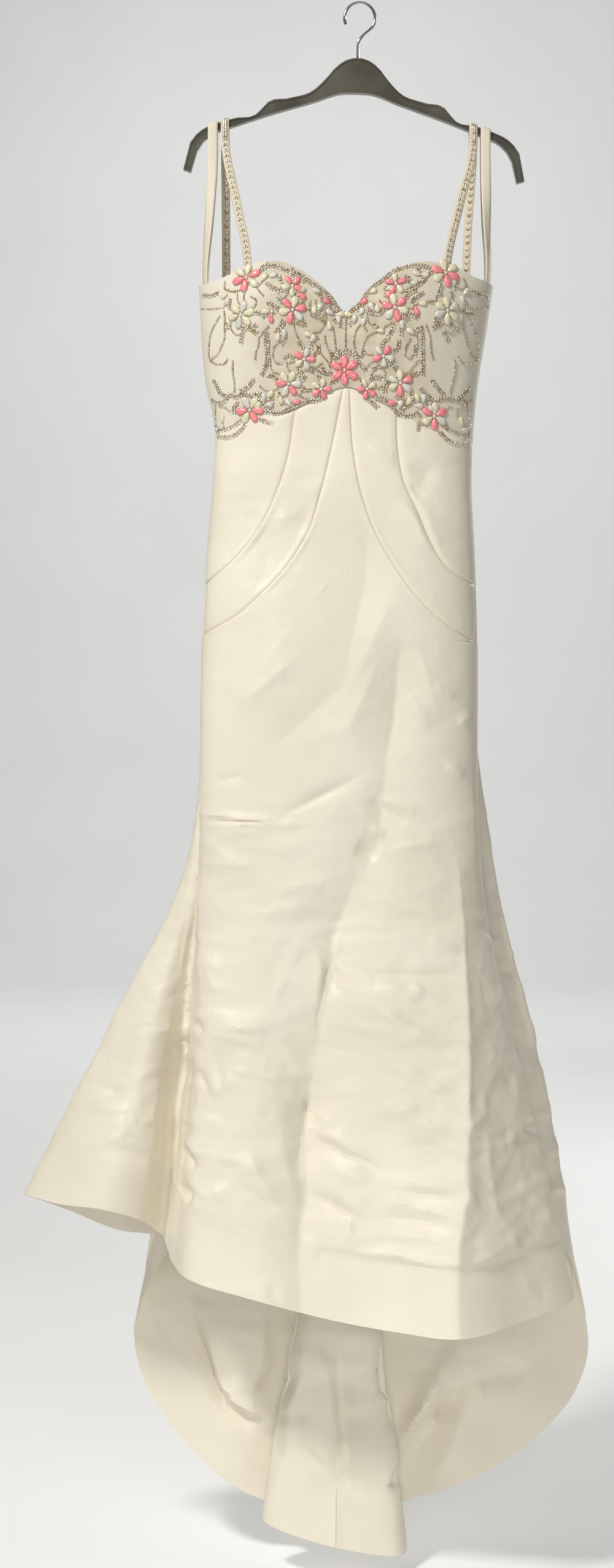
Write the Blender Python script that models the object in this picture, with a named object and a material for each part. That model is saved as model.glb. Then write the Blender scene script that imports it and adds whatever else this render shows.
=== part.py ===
"""A mermaid gown of stiff ivory satin, hanging on a plastic hanger, at its real size.

The gown has a beaded sweetheart bodice on thin straps, a fitted skirt with curved seams, a flare
from the knee and a short train. The origin is the inside of the hook's top, where a rail carries
the hanger. +Z is up and the front of the gown faces -Y. Left and right are those of someone who
looks at the front. Tables are in millimetres.
"""
import math

import bmesh
import bpy
import numpy as np

MM = 0.001
SHARP_ANGLE = 35.0

# Cloth and seams
SATIN_WALL = 1.8
NET_WALL = 1.0
THIN_WALL = 1.0
THIN_SHARE = 0.3
SEAM_GAP = 0.4
LAYER_GAP = 0.3

# Heights of the gown below the hook
KNEE = -960.0
SEAM_END_OUTER = (-762.0, -764.0)
SEAM_END_INNER = (-830.0, -842.0)
BACK_NECK_DIP = -408.0

# How the skirt leaves the knee: a soft start over this share of its length, then straight
FLARE_START = 0.42
FLARE_POWER = 2.5
SKIRT_SPAN = 1000.0

# Cups of the bodice
CUP_DEPTH = 12.0
CUP_WIDTH = 52.0
CUP_HEIGHT = 55.0
CUP_CENTRES = (-118.0, 84.0)
CUP_LEVEL = -408.0
VALLEY_DEPTH = 7.0
VALLEY_CENTRE = -18.0
VALLEY_WIDTH = 26.0
BLUNT_SIDES = 0.25

# Straps, tapes and the hanger
STRAP_WIDTH = 11.0
TAPE_WIDTH = 13.0
TAPE_ASIDE = 0.12
TAPE_FOOT = -402.0
TAPE_NECK = -364.0
TAPE_CLEAR = 2.4
BAND_WALL = 1.6
BAND_CLEAR = 0.5
STRAP_BELOW = 14.0
HANGER_THICK = 10.0
HANGER_RIM = 2.6
HANGER_STATIONS = 30
HANGER_RECESS = 1.0
HANGER_TILT = 2.0
HOOK_WIRE = 1.9
HOOK_RADIUS = 20.2
HOOK_FOOT = (-2.5, -71.5)
HOOK_STATIONS = 38

# Zip at the centre back
ZIP_TOP = -417.0
SLIDER_SIZE = (4.6, 1.5, 9.0)
BRIDGE_WIDTH = 2.0
BRIDGE_SPAN = 6.0
BRIDGE_RISE = 2.6
BRIDGE_BAR = 0.9
PULL_LENGTH = 22.0
PULL_RAIL = 1.0
PULL_WINDOW = 4.2
PULL_CORNERS = 16
PULL_SQUARE = 0.35
PULL_FLARE = 0.35

# Beads
BEAD_LIFT = 0.7
BEAD_HEIGHT = 4.6
PETAL_COLUMNS = 4
PETAL_VALLEY = 0.52


def table(columns, rows):
    """Named columns of numbers from rows written one below the other."""
    return {name: np.array([row[i] for row in rows], float)
            for i, name in enumerate(columns.split())}


def named_table(columns, rows):
    """The same, for rows that each start with a name."""
    columns = table(columns, [row[1:] for row in rows])
    return [row[0] for row in rows], columns


# Oval of the fitted part at each height: the two side edges, and how far front and back stand out
SECTIONS = table("height left right front back", (
    (-1045, -210, 155, 62, 57),
    (-960, -210, 155, 64, 58),
    (-850, -208, 155, 66, 60),
    (-720, -201, 151, 62, 56),
    (-625, -193, 147, 58, 49),
    (-560, -190, 149, 58, 46),
    (-500, -202, 155, 64, 46),
    (-432, -208, 166, 68, 46),
    (-372, -211, 175, 66, 44),
    (-320, -213, 182, 60, 40),
))

# The hem, once around the gown: where each fold starts at the knee (side seams at -1, 1 and 3,
# centre front at 0, centre back at 2), where it ends, how far it bows out sideways on its way, and
# whether it opens only in the lower skirt, as the box pleat at the centre back does
HEM_NAMES, HEM = named_table("around x y z bow late", (
    ("left wing tip", -1.00, -443, 10, -1566, 0, 0),
    ("left wing crest", -0.97, -387, -50, -1569, 0, 0),
    ("left wing front", -0.94, -333, -76, -1571, 0, 0),
    ("left wing inner", -0.91, -288, -55, -1587, 0, 0),
    ("left valley", -0.88, -261, -2, -1617, 0, 0),
    ("left valley wall", -0.85, -242, -56, -1643, 0, 0),
    ("left ridge", -0.79, -216, -112, -1655, 0, 0),
    ("front left", -0.40, -141, -128, -1675, 0, 0),
    ("front middle", -0.02, -46, -118, -1702, 0, 0),
    ("front right", 0.27, 47, -128, -1717, 0, 0),
    ("right ridge", 0.60, 121, -140, -1723, 0, 0),
    ("right front side", 0.82, 206, -80, -1714, 2, 0),
    ("right side", 1.00, 281, 2, -1697, -2, 0),
    ("right tuck", 1.05, 252, 48, -1678, 5, 0),
    ("right wing", 1.11, 282, 92, -1660, 24, 0),
    ("train right start", 1.20, 302, 132, -1714, 18, 0),
    ("train right bulge", 1.32, 318, 152, -1802, 5, 0),
    ("train right low", 1.44, 300, 154, -1862, 0, 0),
    ("train right corner", 1.55, 254, 142, -1914, 0, 0),
    ("train right middle", 1.66, 186, 128, -1960, 0, 0),
    ("train right inner", 1.77, 120, 124, -1988, 0, 0),
    ("pleat behind right", 1.86, 56, 132, -2010, 0, 1),
    ("pleat turn right", 1.90, 36, 110, -2022, 0, 1),
    ("pleat edge right", 1.94, 66, 82, -2055, 0, 1),
    ("pleat face right", 1.97, 52, 58, -2058, 0, 1),
    ("pleat middle", 2.00, -31, 48, -2044, 0, 1),
    ("pleat face left", 2.03, -114, 56, -2019, 0, 1),
    ("pleat edge left", 2.06, -129, 82, -2014, 0, 1),
    ("pleat turn left", 2.10, -98, 110, -2016, 0, 1),
    ("pleat behind left", 2.14, -116, 132, -2010, 0, 1),
    ("train left inner", 2.24, -160, 126, -1990, 0, 0),
    ("train left middle", 2.34, -212, 130, -1950, 0, 0),
    ("train left corner", 2.43, -262, 140, -1895, 0, 0),
    ("train left low", 2.52, -294, 148, -1845, 0, 0),
    ("train left bulge", 2.61, -306, 140, -1780, 0, 0),
    ("train left top", 2.70, -286, 118, -1712, 0, 0),
    ("left tuck inner", 2.79, -256, 84, -1648, 0, 0),
    ("left tuck outer", 2.85, -270, 56, -1629, 0, 0),
    ("left wing back", 2.91, -325, 72, -1624, 0, 0),
    ("left wing under", 2.96, -391, 60, -1595, 0, 0),
))
LATE_START = 0.3
LATE_END = 1.0

# Edges and seams of the front, as places seen from the front
NECKLINE = table("x z", (
    (-211, -372), (-192, -372), (-170, -366), (-144, -355), (-100, -353), (-80, -362), (-56, -379),
    (-37, -396), (-20, -417), (-4, -404), (14, -385), (34, -369), (64, -355), (102, -352),
    (120, -355), (144, -366), (166, -371), (175, -374),
))
WAIST = table("x z", (
    (-190, -563), (-150, -559), (-113, -552), (-84, -540), (-50, -524), (-18, -513), (14, -526),
    (47, -543), (80, -562), (112, -574), (149, -578),
))
INNER_SEAM_LEFT = table("x z", (
    (-22, -514), (-38, -595), (-52, -651), (-66, -695), (-92, -739), (-125, -776), (-163, -808),
    (-207, SEAM_END_INNER[0]),
))
INNER_SEAM_RIGHT = table("x z", (
    (-14, -514), (-9, -595), (0, -644), (17, -695), (46, -746), (70, -779), (96, -806), (121, -825),
    (155, SEAM_END_INNER[1]),
))
OUTER_SEAM_LEFT = table("x z", (
    (-84, -540), (-95, -606), (-110, -651), (-129, -689), (-155, -724), (-178, -745),
    (-203, SEAM_END_OUTER[0]),
))
OUTER_SEAM_RIGHT = table("x z", (
    (47, -543), (49, -595), (56, -632), (74, -671), (91, -711), (107, -737), (128, -755),
    (152, SEAM_END_OUTER[1]),
))

# Flowers of petal beads: centre, reach of a petal, petal count, turn in degrees
FLOWER_NAMES, FLOWERS = named_table("x z reach petals turn", (
    ("flower_brow_left", -147, -372, 17, 6, 20),
    ("flower_brow_right", 109, -366, 17, 6, 40),
    ("flower_cup_top_left", -88, -385, 13, 5, 50),
    ("flower_cup_top_right", 45, -382, 13, 5, 95),
    ("flower_cup_left", -88, -416, 16, 6, 15),
    ("flower_cup_right", 44, -413, 16, 6, 45),
    ("flower_side_left", -154, -420, 16, 6, 10),
    ("flower_side_right", 111, -415, 16, 6, 30),
    ("flower_under_cup_left", -73, -478, 13, 5, 70),
    ("flower_under_cup_right", 29, -474, 13, 5, 60),
    ("flower_waist_left", -93, -509, 15, 6, 0),
    ("flower_waist_right", 51, -508, 15, 6, 30),
    ("flower_centre_left", -51, -516, 12, 5, 0),
    ("flower_centre_right", 8, -516, 12, 5, 40),
    ("flower_centre", -21, -492, 17, 6, 30),
    ("flower_hip_left", -143, -541, 16, 6, 0),
    ("flower_hip_right", 95, -549, 16, 6, 30),
))
# Half of the hanger's outline, from its middle out: distance, height
HANGER_TOP = table("out z", (
    (0, -72), (14, -75), (28, -85), (42, -102), (56, -116), (88, -128), (120, -138), (126, -146),
    (160, -157), (184, -165), (203, -175), (215, -189), (222, -207), (224, -226),
))
HANGER_LOW = table("out z", (
    (0, -118), (20, -119), (55, -131), (119, -152), (170, -171), (188, -178), (200, -189),
    (208, -204), (212, -218), (214, -229),
))

# Colours: red, green, blue as linear values, roughness, metallic
FINISHES = {
    "satin": ((0.66, 0.61, 0.50), 0.45, 0.0),
    "bead_net": ((0.52, 0.47, 0.39), 0.6, 0.0),
    "strap": ((0.55, 0.48, 0.38), 0.5, 0.0),
    "tape": ((0.72, 0.68, 0.60), 0.7, 0.0),
    "hanger": ((0.02, 0.021, 0.018), 0.3, 0.0),
    "chrome": ((0.75, 0.75, 0.75), 0.15, 1.0),
    "petal": ((0.85, 0.35, 0.35), 0.3, 0.0),
    "zip": ((0.70, 0.66, 0.56), 0.4, 0.0),
}


def slopes(xs, ys):
    """The slope of a smooth curve at each of its points."""
    steps = np.diff(xs)
    rises = np.diff(ys) / steps
    inner = (rises[:-1] * steps[1:] + rises[1:] * steps[:-1]) / (steps[:-1] + steps[1:])
    return np.concatenate(([rises[0]], inner, [rises[-1]]))


def steady_slopes(xs, ys):
    """Slopes that keep a rising curve rising."""
    rises = np.diff(ys) / np.diff(xs)
    inner = 2.0 * rises[:-1] * rises[1:] / (rises[:-1] + rises[1:])
    return np.concatenate(([rises[0]], inner, [rises[-1]]))


def smooth(at, xs, ys, slope_rule=slopes):
    """The height of the smooth curve through (xs, ys) at each value of at."""
    at = np.clip(np.asarray(at, float), xs[0], xs[-1])
    tangents = slope_rule(xs, ys)
    i = np.clip(np.searchsorted(xs, at, side="right") - 1, 0, len(xs) - 2)
    step = xs[i + 1] - xs[i]
    t = (at - xs[i]) / step
    return ((1 + 2 * t) * (1 - t) ** 2 * ys[i] + t * (1 - t) ** 2 * step * tangents[i]
            + t ** 2 * (3 - 2 * t) * ys[i + 1] - t ** 2 * (1 - t) * step * tangents[i + 1])


def closed_hem(rows):
    """The hem's rows, repeated past both ends, with the way walked along them."""
    wrap = 3
    ring = {}
    for name, values in rows.items():
        turn = 4.0 if name == "around" else 0.0
        ring[name] = np.concatenate((values[-wrap:] - turn, values, values[:wrap] + turn))
    stops = np.stack([ring["x"], ring["y"], ring["z"]], axis=1)
    steps = np.sqrt(np.linalg.norm(np.diff(stops, axis=0), axis=1))
    ring["walk"] = np.concatenate(([0.0], np.cumsum(steps)))
    return ring


HEM_RING = closed_hem(HEM)
PLAIN_RING = closed_hem({name: values[HEM["late"] == 0] for name, values in HEM.items()})


def hem_walk(around, ring=HEM_RING):
    """How far along the hem's curve each fold line ends."""
    return smooth(around, ring["around"], ring["walk"], steady_slopes)


def hem_place(around, ring):
    """Where each fold line meets the hem, and how far it bows."""
    walk = hem_walk(np.mod(around + 1, 4) - 1, ring)
    return [smooth(walk, ring["walk"], ring[name]) for name in ("x", "y", "z", "bow")]


def fitted(around, height):
    """Places on the fitted part of the gown, above the knee."""
    left, right, front, back = (smooth(height, SECTIONS["height"], SECTIONS[side])
                                for side in ("left", "right", "front", "back"))
    middle = (left + right) / 2
    half = (right - left) / 2
    angle = around * math.pi / 2
    facing = np.cos(angle)
    across = np.sin(angle)
    depth = np.where(facing > 0, front, back)
    x = middle + half * across
    y = -depth * facing * (1 + BLUNT_SIDES * across ** 2)
    rise = np.exp(-((height - CUP_LEVEL) / CUP_HEIGHT) ** 2) * np.maximum(facing, 0) ** 0.5
    for centre in CUP_CENTRES:
        y = y - CUP_DEPTH * rise * np.exp(-((x - centre) / CUP_WIDTH) ** 2)
    valley = np.exp(-((x - VALLEY_CENTRE) / VALLEY_WIDTH) ** 2) * np.maximum(facing, 0)
    y = y + VALLEY_DEPTH * valley * rise
    return x, y


def gown(around, height):
    """Places on the outside of the gown; below the knee the height counts the share of the skirt."""
    around, height = np.broadcast_arrays(np.asarray(around, float), np.asarray(height, float))
    x, y = fitted(around, np.maximum(height, KNEE))
    share = np.clip((KNEE - height) / SKIRT_SPAN, 0, 1)
    soft = FLARE_START * (share / FLARE_START) ** FLARE_POWER / FLARE_POWER
    straight = share - FLARE_START * (1 - 1 / FLARE_POWER)
    flare = np.where(share < FLARE_START, soft, straight) / (1 - FLARE_START * (1 - 1 / FLARE_POWER))
    plain_x, plain_y, _, bow = hem_place(around, PLAIN_RING)
    hem_x, hem_y, hem_z, _ = hem_place(around, HEM_RING)
    opened = np.clip((share - LATE_START) / (LATE_END - LATE_START), 0, 1)
    opened = opened * opened * (3 - 2 * opened)
    x = x + (plain_x - x + (hem_x - plain_x) * opened) * flare + bow * 4 * share * (1 - share)
    y = y + (plain_y - y + (hem_y - plain_y) * opened) * flare
    z = np.maximum(height, KNEE) + (hem_z - KNEE) * share
    return np.stack([x, y, z], axis=-1)


def outward(around, height):
    """The direction straight out of the cloth at each place."""
    step = 0.002
    along = gown(around + step, height) - gown(around - step, height)
    up = gown(around, np.asarray(height) + 1.0) - gown(around, np.asarray(height) - 1.0)
    normal = np.cross(along, up)
    return normal / np.linalg.norm(normal, axis=-1, keepdims=True)


def front_around(x, height):
    """Where a place seen from the front lies on the way around the gown."""
    left = smooth(height, SECTIONS["height"], SECTIONS["left"])
    right = smooth(height, SECTIONS["height"], SECTIONS["right"])
    share = (x - (left + right) / 2) / ((right - left) / 2)
    return np.arcsin(np.clip(share, -1, 1)) * 2 / math.pi


def seam(rows, count, end_around):
    """Evenly spaced places (around, height) along a seam, from the waist to a side seam."""
    walk = np.concatenate(([0.0], np.cumsum(np.hypot(np.diff(rows["x"]), np.diff(rows["z"])))))
    at = np.linspace(0, walk[-1], count)
    x = smooth(at, walk, rows["x"])
    z = smooth(at, walk, rows["z"])
    around = front_around(x, z)
    around[-1] = end_around
    z[0] = edge_height(WAIST, around[:1])[0]
    return np.stack([around, z], axis=1)


def edge_height(edge, around):
    """The height of an edge such as the neckline, on the way around the front."""
    line = front_around(edge["x"], edge["z"])
    line[0], line[-1] = -1.0, 1.0
    return smooth(around, line, edge["z"])


def finish(kind, name):
    """A piece's own material, in one of the finishes above."""
    colour, roughness, metallic = FINISHES[kind]
    material = bpy.data.materials.new(name)
    material.use_nodes = True
    shader = material.node_tree.nodes["Principled BSDF"]
    shader.inputs["Base Color"].default_value = (*colour, 1.0)
    shader.inputs["Roughness"].default_value = roughness
    shader.inputs["Metallic"].default_value = metallic
    material.diffuse_color = (*colour, 1.0)
    return material


def solid(name, points, faces, kind):
    """An object from points in millimetres, with its faces turned outwards."""
    mesh = bpy.data.meshes.new(name)
    mesh.from_pydata([tuple(float(v) * MM for v in p) for p in points], [], faces)
    work = bmesh.new()
    work.from_mesh(mesh)
    bmesh.ops.recalc_face_normals(work, faces=work.faces)
    work.to_mesh(mesh)
    work.free()
    mesh.shade_smooth()
    mesh.set_sharp_from_angle(angle=math.radians(SHARP_ANGLE))
    mesh.materials.append(finish(kind, name))
    piece = bpy.data.objects.new(name, mesh)
    bpy.context.scene.collection.objects.link(piece)
    return piece


def strip_faces(upper, lower, upper_share, lower_share):
    """Triangles between two rows of points that may differ in number."""
    faces = []
    if len(upper) == len(lower):
        for i in range(len(upper) - 1):
            faces.append((upper[i], lower[i], lower[i + 1]))
            faces.append((upper[i], lower[i + 1], upper[i + 1]))
        return faces
    i = j = 0
    while i < len(upper) - 1 or j < len(lower) - 1:
        down = i == len(upper) - 1 or (
            j < len(lower) - 1 and lower_share[j + 1] <= upper_share[i + 1])
        if down:
            faces.append((upper[i], lower[j], lower[j + 1]))
            j += 1
        else:
            faces.append((upper[i], lower[j], upper[i + 1]))
            i += 1
    return faces


def row_shares(row):
    """How far along its row each place lies, from 0 to 1."""
    span = row[-1, 0] - row[0, 0]
    if abs(span) < 1e-6:
        return np.linspace(0, 1, len(row))
    return (row[:, 0] - row[0, 0]) / span


def unit(vectors):
    """Vectors of length 1."""
    return vectors / np.maximum(np.linalg.norm(vectors, axis=-1, keepdims=True), 1e-9)


def inset(rows, normals, shift):
    """Moves the border points of a panel into the panel, square to its edges."""
    moves = [np.zeros_like(row) for row in rows]
    last = len(rows) - 1
    for end in (0, -1):
        line = np.array([row[end] for row in rows])
        inside = np.array([row[1 if end == 0 else -2] for row in rows]) - line
        tangent = unit(np.gradient(line, axis=0))
        aside = unit(np.cross(np.array([n[end] for n in normals]), tangent))
        aside *= np.sign(np.sum(aside * inside, axis=1, keepdims=True))
        for j in range(len(rows)):
            moves[j][end] += aside[j] * shift
    for j, beside in ((0, 1), (last, last - 1)):
        tangent = unit(np.gradient(rows[j], axis=0))
        aside = unit(np.cross(normals[j], tangent))
        inside = rows[beside].mean(axis=0) - rows[j].mean(axis=0)
        aside *= np.sign(aside @ inside)[:, None]
        moves[j] += aside * shift
    return moves


def bend_radius(row):
    """How tightly a row of points bends at each of them, as a radius."""
    radius = np.full(len(row), 1000.0)
    if len(row) > 2:
        a, b, c = row[:-2], row[1:-1], row[2:]
        sides = [np.linalg.norm(q - p, axis=1) for p, q in ((a, b), (b, c), (a, c))]
        area = np.linalg.norm(np.cross(b - a, c - a), axis=1)
        radius[1:-1] = sides[0] * sides[1] * sides[2] / np.maximum(2 * area, 1e-6)
    return radius


def cloth(name, rows, kind="satin", lift=0.0, wall=SATIN_WALL, shift=SEAM_GAP / 2):
    """A closed wall of cloth over rows of places (around, height), top row first."""
    outer = [gown(row[:, 0], row[:, 1]) for row in rows]
    normals = [outward(row[:, 0], row[:, 1]) for row in rows]
    moves = inset(outer, normals, shift)
    walls = [np.minimum(wall, np.maximum(bend_radius(row) * THIN_SHARE, THIN_WALL)) for row in outer]
    skins = [[o + m + n * lift for o, m, n in zip(outer, moves, normals)],
             [o + m + n * (lift - w[:, None]) for o, m, n, w in zip(outer, moves, normals, walls)]]
    points = []
    index = []
    for skin in skins:
        numbered = []
        for row in skin:
            numbered.append(list(range(len(points), len(points) + len(row))))
            points.extend(row)
        index.append(numbered)
    shares = [row_shares(row) for row in rows]
    faces = []
    for side, numbered in enumerate(index):
        for j in range(len(rows) - 1):
            strip = strip_faces(numbered[j], numbered[j + 1], shares[j], shares[j + 1])
            faces.extend(strip if side == 0 else [face[::-1] for face in strip])
    out, back = index
    for end in (0, -1):
        for j in range(len(rows) - 1):
            faces.append((out[j][end], out[j + 1][end], back[j + 1][end], back[j][end]))
    for j in (0, -1):
        for i in range(len(out[j]) - 1):
            faces.append((out[j][i], out[j][i + 1], back[j][i + 1], back[j][i]))
    return solid(name, points, faces, kind)


def places(around, height):
    """One row of places."""
    around, height = np.broadcast_arrays(np.asarray(around, float), np.asarray(height, float))
    return np.stack([around, height], axis=1)


def fold_columns(start, end, between):
    """Fold lines from start to end, with a few more spaced between each two along the hem."""
    rows = HEM_RING["around"]
    knots = [start] + [a for a in rows if start + 1e-6 < a < end - 1e-6] + [end]
    walk = hem_walk(np.array(knots))
    fine = np.interp(np.arange((len(knots) - 1) * between + 1) / between, range(len(knots)), walk)
    lines = np.interp(fine, hem_walk(np.linspace(start, end, 4000)), np.linspace(start, end, 4000))
    lines[::between] = knots
    return lines


# Heights shared by every panel that meets the side seams
SKIRT_SHARES = np.array([0.0, 0.09, 0.17, 0.25, 0.33, 0.42, 0.54, 0.68, 0.84, 1.0])
BELOW_KNEE = KNEE - SKIRT_SHARES * SKIRT_SPAN
BODICE_ROWS = 9
BACK_ROWS = 8
SIDE_COLUMNS = 8
CENTRE_COLUMNS = 15
CENTRE_WIDENS = 1.3
MID_COLUMNS = 6
SIDE_LOWER = 4
SEAM_ROWS = 13
BACK_COLUMNS = 10
TIP_SHARE = 0.5
WAIST_LEFT = float(WAIST["z"][0])
WAIST_RIGHT = float(WAIST["z"][-1])
WAIST_MIDDLE = (WAIST_LEFT + WAIST_RIGHT) / 2


def ruled(edge_a, edge_b, count):
    """Rows of places straight across between two edges with as many places each."""
    shares = np.linspace(0, 1, count)[:, None]
    return [edge_a[j] * (1 - shares) + edge_b[j] * shares for j in range(len(edge_a))]


def waist_lines():
    """Where the columns of the front stand at the waist, so that bodice and skirt share them."""
    knots = [-1.0]
    knots += [float(front_around(rows["x"][0], rows["z"][0]))
              for rows in (OUTER_SEAM_LEFT, INNER_SEAM_LEFT, INNER_SEAM_RIGHT, OUTER_SEAM_RIGHT)]
    knots.append(1.0)
    counts = (SIDE_COLUMNS, MID_COLUMNS, 2, MID_COLUMNS, SIDE_COLUMNS)
    return [np.linspace(knots[i], knots[i + 1], counts[i]) for i in range(5)]


def bodice_rows(around):
    """Rows from the neckline to the waist at the given ways around the front."""
    top = edge_height(NECKLINE, around)
    low = edge_height(WAIST, around)
    return [places(around, top + (low - top) * share) for share in np.linspace(0, 1, BODICE_ROWS)]


def back_neck(around):
    """The height of the back's upper edge, which dips from the side seams to the middle."""
    side = np.where(np.asarray(around) < 2.0, NECKLINE["z"][-1], NECKLINE["z"][0])
    from_middle = np.abs(np.asarray(around) - 2.0)
    return side + (BACK_NECK_DIP - side) * np.cos(from_middle * math.pi / 2)


def bodice():
    """Front with its two side fronts, two backs, and the net that lies over the front."""
    side_l, mid_l, middle, mid_r, side_r = waist_lines()
    side_left = bodice_rows(side_l)
    centre = bodice_rows(np.concatenate((mid_l, [middle.mean()], mid_r)))
    side_right = bodice_rows(side_r)
    cloth("bodice_front_centre", centre)
    cloth("bodice_front_side_left", side_left)
    cloth("bodice_front_side_right", side_right)
    over = [np.concatenate((a, b[1:], c[1:])) for a, b, c in zip(side_left, centre, side_right)]
    cloth("bodice_net_overlay", over, "bead_net", lift=LAYER_GAP + NET_WALL, wall=NET_WALL)
    for name, start, end, waist in (
            ("bodice_back_right", 1.0, 2.0, WAIST_RIGHT), ("bodice_back_left", 2.0, 3.0, WAIST_LEFT)):
        around = np.linspace(start, end, BACK_COLUMNS)
        top = back_neck(around)
        low = waist + (WAIST_MIDDLE - waist) * (around - start if start == 1.0 else end - around)
        rows = [places(around, top + (low - top) * share) for share in np.linspace(0, 1, BACK_ROWS)]
        cloth(name, rows)


def back_heights(waist, outer_end, inner_end):
    """Heights of the back's rows at one edge, from the waist down to just above the knee."""
    upper = np.linspace(waist, outer_end, SEAM_ROWS)
    middle = np.linspace(outer_end, inner_end, MID_COLUMNS)
    lower = np.linspace(inner_end, KNEE, SIDE_LOWER)
    return np.concatenate((upper, middle[1:], lower[1:-1]))


def skirt():
    """Centre front, two mid fronts, two side fronts and two backs with the train."""
    inner = (seam(INNER_SEAM_LEFT, SEAM_ROWS, -1.0), seam(INNER_SEAM_RIGHT, SEAM_ROWS, 1.0))
    outer = (seam(OUTER_SEAM_LEFT, SEAM_ROWS, -1.0), seam(OUTER_SEAM_RIGHT, SEAM_ROWS, 1.0))
    rows = []
    for j in range(SEAM_ROWS):
        widened = (j / (SEAM_ROWS - 1)) ** CENTRE_WIDENS
        count = 2 + int(round((CENTRE_COLUMNS - 2) * widened)) + (j > 0)
        share = np.linspace(0, 1, count)[:, None]
        rows.append(inner[0][j] * (1 - share) + inner[1][j] * share)
    across = np.linspace(0, 1, 17)
    for share in np.linspace(0, 1, SIDE_LOWER)[1:-1]:
        ends = [end + (KNEE - end) * share for end in SEAM_END_INNER]
        rows.append(places(across * 2 - 1, ends[0] + (ends[1] - ends[0]) * across))
    folds = fold_columns(-1.0, 1.0, 2)
    rows.extend(places(folds, height) for height in BELOW_KNEE)
    cloth("skirt_front_centre", rows)

    for side, name, end, waist in ((0, "left", -1.0, WAIST_LEFT), (1, "right", 1.0, WAIST_RIGHT)):
        mid = ruled(outer[side], inner[side], MID_COLUMNS)
        mid[0][:, 1] = edge_height(WAIST, mid[0][:, 0])
        cloth("skirt_front_mid_" + name, mid)

        down = np.linspace(waist, SEAM_END_OUTER[side], SEAM_ROWS)
        side_line = places(np.full(SEAM_ROWS, end), down)
        outer_line = outer[side].copy()
        outer_line[-1] = side_line[-1] + (outer_line[-2] - side_line[-1]) * TIP_SHARE
        panel = ruled(side_line, outer_line, SIDE_COLUMNS)
        panel[0][:, 1] = edge_height(WAIST, panel[0][:, 0])
        cloth("skirt_front_side_" + name, panel)

    for side, name, start, end in ((1, "right", 1.0, 2.0), (0, "left", 2.0, 3.0)):
        middle_back = back_heights(WAIST_MIDDLE, SEAM_END_OUTER[0], SEAM_END_INNER[0])
        waist = (WAIST_LEFT, WAIST_RIGHT)[side]
        side_back = back_heights(waist, SEAM_END_OUTER[side], SEAM_END_INNER[side])
        share = np.linspace(0, 1, BACK_COLUMNS)
        ends = (side_back, middle_back) if side else (middle_back, side_back)
        rows = [places(start + share, a + (b - a) * share) for a, b in zip(*ends)]
        folds = fold_columns(start, end, 2)
        rows.extend(places(folds, height) for height in BELOW_KNEE)
        cloth("skirt_back_" + name, rows)


def band(name, route, widthways, width, kind):
    """A flat band along a route, its width turned to the direction given at each point."""
    route = np.array(route, float)
    widthways = np.array(widthways, float)
    walk = np.concatenate(([0.0], np.cumsum(np.linalg.norm(np.diff(route, axis=0), axis=1))))
    knots = np.interp(np.arange(len(route) * 2 - 1) / 2, range(len(route)), walk)
    line = np.stack([smooth(knots, walk, route[:, k]) for k in range(3)], axis=1)
    turned = np.stack([smooth(knots, walk, widthways[:, k]) for k in range(3)], axis=1)
    along = unit(np.gradient(line, axis=0))
    points = []
    for place, way, aside in zip(line, along, turned):
        aside = aside - way * (aside @ way)
        aside = aside / np.linalg.norm(aside)
        face = np.cross(way, aside)
        for across, out in ((-1, -1), (1, -1), (1, 1), (-1, 1)):
            points.append(place + aside * across * width / 2 + face * out * BAND_WALL / 2)
    faces = [(0, 1, 2, 3), tuple(len(points) - 4 + k for k in (3, 2, 1, 0))]
    for j in range(len(line) - 1):
        for k in range(4):
            a, b = 4 * j + k, 4 * j + (k + 1) % 4
            if k == 2:
                faces += [(a, b, a + 4), (b, b + 4, a + 4)]
            else:
                faces += [(a, b, b + 4), (a, b + 4, a + 4)]
    return solid(name, points, faces, kind)


def tilted(x, z):
    """A place on the level hanger, after the hanger has tilted about the hook."""
    tilt = math.radians(HANGER_TILT)
    return x * math.cos(tilt) + z * math.sin(tilt), z * math.cos(tilt) - x * math.sin(tilt)


def arm_top(x):
    """The height of the tilted hanger's upper edge at a place across the hanger."""
    outs = np.linspace(0, HANGER_TOP["out"][-1], 400)
    edge_x, edge_z = tilted(outs * np.sign(x), smooth(outs, HANGER_TOP["out"], HANGER_TOP["z"]))
    order = np.argsort(edge_x)
    return float(np.interp(x, edge_x[order], edge_z[order]))


def inside_place(around, height, depth):
    """A place that lies a given depth behind the outside of the cloth, and the way across it."""
    around = np.array([around])
    height = np.array([height])
    across = gown(around + 0.01, height) - gown(around - 0.01, height)
    across = across[0] * (1, 1, 0)
    across *= np.sign(across[0]) / np.linalg.norm(across)
    return (gown(around, height) - outward(around, height) * depth)[0], across


def over_arm(top_x, half_width, drop, lift):
    """Points and widthways directions that carry a band from front to back over a hanger arm."""
    reach = HANGER_THICK / 2 + LAYER_GAP + BAND_WALL / 2 + 0.4
    rise = arm_top(top_x + half_width) - arm_top(top_x - half_width)
    top = max(arm_top(top_x - half_width), arm_top(top_x + half_width))
    top = max(arm_top(top_x), top - abs(rise) / 2) + LAYER_GAP + BAND_WALL / 2 + lift
    side = ((reach, drop), (reach, 14.0), (reach, 5.0), (reach - 0.7, 1.4), (reach * 0.6, 0.1))
    front = [(top_x, -y, top - down) for y, down in side]
    back = [(top_x, y, top - down) for y, down in side[::-1]]
    tilt = math.atan2(rise, 2 * half_width)
    points = front + [(top_x, 0.0, top)] + back
    return points, [(math.cos(tilt), 0.0, math.sin(tilt))] * len(points)


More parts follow.
